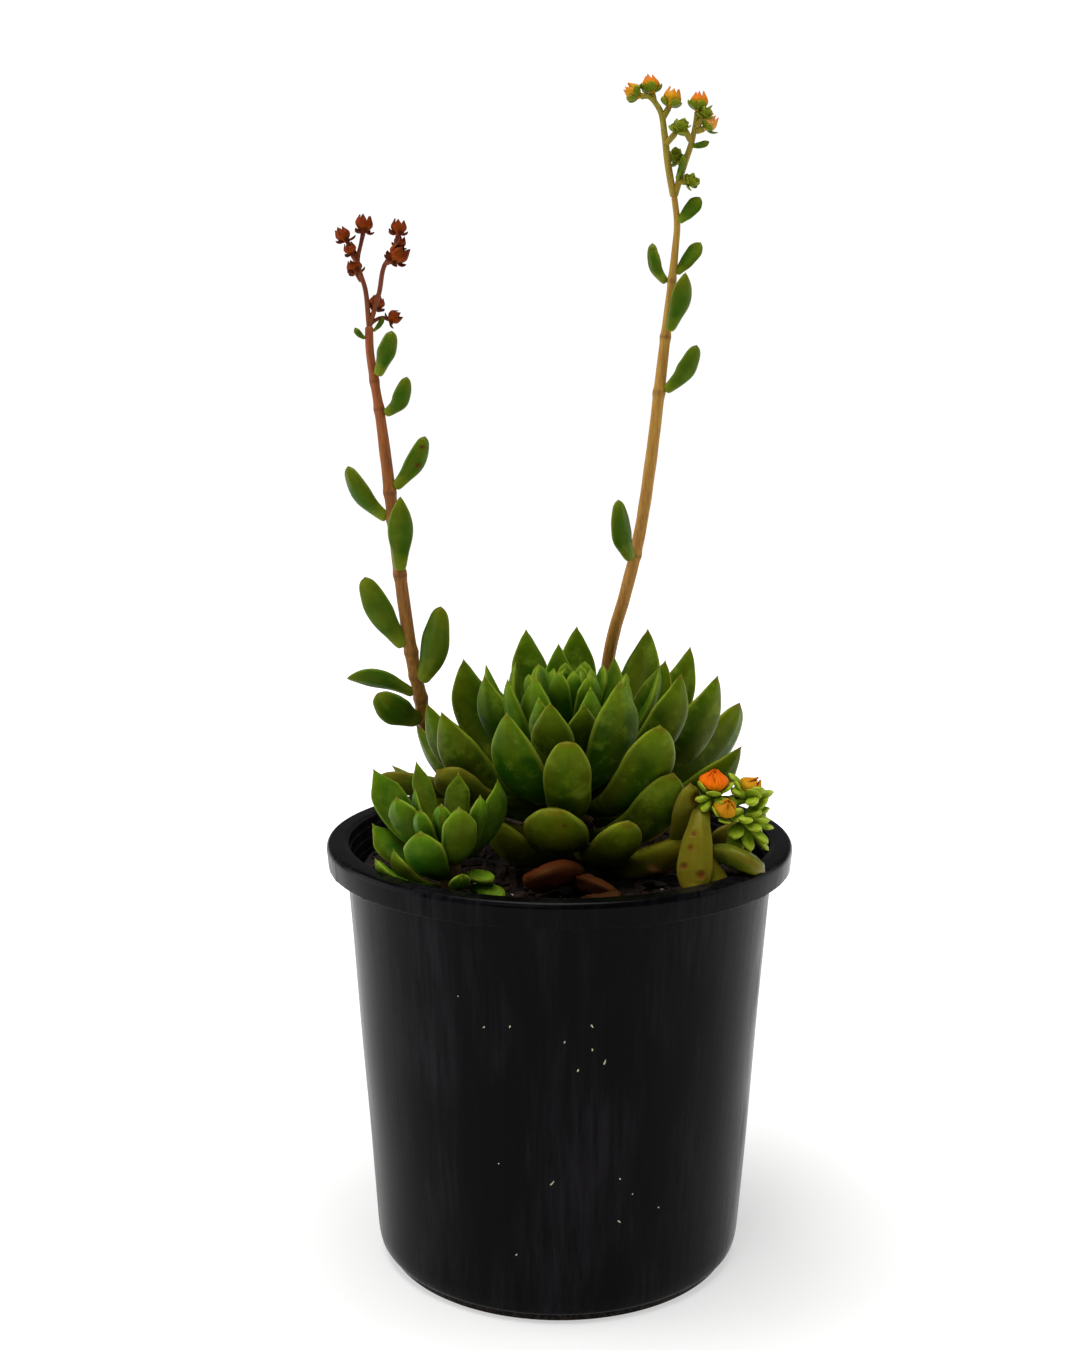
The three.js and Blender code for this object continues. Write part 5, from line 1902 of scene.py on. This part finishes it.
    FlowerHead(
        "short_flower_head", "short_flower_head", short_foot,
        (
            Branch(
                ((1, 0, -11), (0.5, 0, 6), (3, 1, 16), (5, 1, 21), (6, -1, 30)), 3.8, Bloom.ORANGE, 1.2, 0.1
            ),
            Branch(((5, 1, 20), (9, 2, 23), (17, 2, 27.5)), 3.6, Bloom.YELLOW, 1.0, 0.15),
            Branch(((5, 1, 20), (7, -1, 20.5), (9, -5, 23.5)), 3.2, Bloom.YELLOW, 1.0, 0.15),
        ),
        stem_bark, blooms, sepal, Slot.BUD, Slot.YOUNG, (60, 1.5, 1.25),
        (
            Tuft((14, 1, 18), -35, 80, (-55, 45), 15, 8.8),
            Tuft((17, 2, 24), 0, 170, (-10, 50), 9, 7.0),
            Tuft((6, -1, 25), -60, 110, (-40, 10), 6, 5.8),
        ),
    ).build()

    old = LeafFinish("ageing_leaf_skin", shade="#1f2a08", body="#46520f", tip="#5f5f14", margin="#6a5a1e",
                     aged="#6d5c12", wax_share=0.12, roughness=0.3)
    old_leaves = (
        LooseLeaf("brown_spot_leaf", (33, -22, 10), (37, -31, 32), 10, 5, 2, 10, 0.35, blunt=True,
                  scars=(Scar(0.86, 0.1, False, 1.7, 0.5), Scar(0.6, 0.2, False, 0.7))),
        LooseLeaf("drooping_leaf", (40, -33, 26), (37, -47, 4), 10, 4, -2, 0, 0.6, blunt=True,
                  scars=(Scar(0.35, -0.3, True, 0.8), Scar(0.5, -0.35, True, 0.8), Scar(0.78, 0.4, True, 1.2),
                         Scar(0.7, -0.6, True, 1.0))),
        LooseLeaf("drooping_leaf_lobe", (42, -40, 14), (46, -47, 4), 8, 3, 1, 0, 0.5, blunt=True),
        LooseLeaf("spotted_low_leaf", (42, -37, 14), (57, -42, 10), 12, 7, -2, -20, 0.2, blunt=True,
                  scars=(Scar(0.6, 0.2, True, 0.8), Scar(0.8, -0.2, True, 0.5))),
        LooseLeaf("dull_back_leaf", (42, -14, 4), (51, -20, 18), 13, 5, 2, -30, 0.5, blunt=True),
        LooseLeaf("yellow_back_leaf", (-19, -17, 24), (-35, -22, 34), 11, 5, 1, 60, 0.12, blunt=True),
        LooseLeaf("left_back_leaf", (-24, -8, 25), (-53, -12, 30), 8.5, 5, 1, 55, 0.0, blunt=True),
    )
    skin = old.material()
    for leaf in old_leaves:
        leaf.skin(level_mm).piece(leaf.name, skin, Slot.YOUNG)
    low = (
        LooseLeaf("offset_low_leaf_1", (-27, -40, 8), (-19, -49, 9), 5.5, 3.5, -1, 10, 0.1, blunt=True),
        LooseLeaf("offset_low_leaf_2", (-25, -42, 5), (-16, -52, 5), 5.5, 3.5, -1, 20, 0.1, blunt=True),
        LooseLeaf("offset_low_leaf_3", (-30, -40, 7), (-27, -53, 12), 6, 3, 2, 0, 0.1, blunt=True),
        LooseLeaf("offset_low_leaf_4", (-31, -41, 3), (-32, -55, 6), 6, 3, 1, 0, 0.1, blunt=True),
        LooseLeaf("offset_low_leaf_5", (-34, -38, 4), (-52, -38, 12), 8, 3.5, 3, 20, 0.1, blunt=True),
        LooseLeaf("offset_inner_leaf_1", (-33, -34, 12), (-41, -33, 31), 7, 3, 2, 30, 0.0),
        LooseLeaf("offset_inner_leaf_2", (-30, -36, 12), (-33, -43, 29), 6.5, 3, 1, 0, 0.0, blunt=True),
        LooseLeaf("offset_inner_leaf_3", (-32, -36, 12), (-39, -41, 27), 7, 3.5, 2, 20, 0.0, blunt=True),
    )
    lush = bright.material()
    for leaf in low:
        leaf.skin(level_mm).piece(leaf.name, lush, Slot.YOUNG)
    withered = LeafFinish("withered_leaf_skin", shade="#120502", body="#401406", tip="#4a1c08",
                          margin="#3a1c0c", aged="#1c0e07", wax="#43210f", roughness=0.72)
    dead = (
        LooseLeaf("withered_leaf_1", (6, -35, 7), (-10, -44, 7), 13, 8, -2, 25, 0.0, 0.05, True),
        LooseLeaf("withered_leaf_2", (4, -34, 4), (16, -47, 4), 13, 5, -1, -35, 0.4, 0.09, True),
        LooseLeaf("withered_leaf_3", (6, -46, 3), (16, -55, 5), 9, 2, -1, 0, 0.6, 0.14),
        LooseLeaf("withered_leaf_4", (14, 30, 3), (22, 46, 5), 12, 2.5, 1, 0, 0.4, 0.12, True),
        LooseLeaf("withered_leaf_5", (-18, 30, 3), (-30, 44, 4), 11, 2.5, 1, 0, 0.5, 0.14),
    )
    dry = withered.material()
    for leaf in dead:
        leaf.skin(level_mm).piece(leaf.name, dry, Slot.STALK)

    sizes = {"cad": CAD_BOX, "visual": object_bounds()}
    {name: [list(corner) for corner in box] for name, box in sizes.items()}


if __name__ == "__main__":
    main()
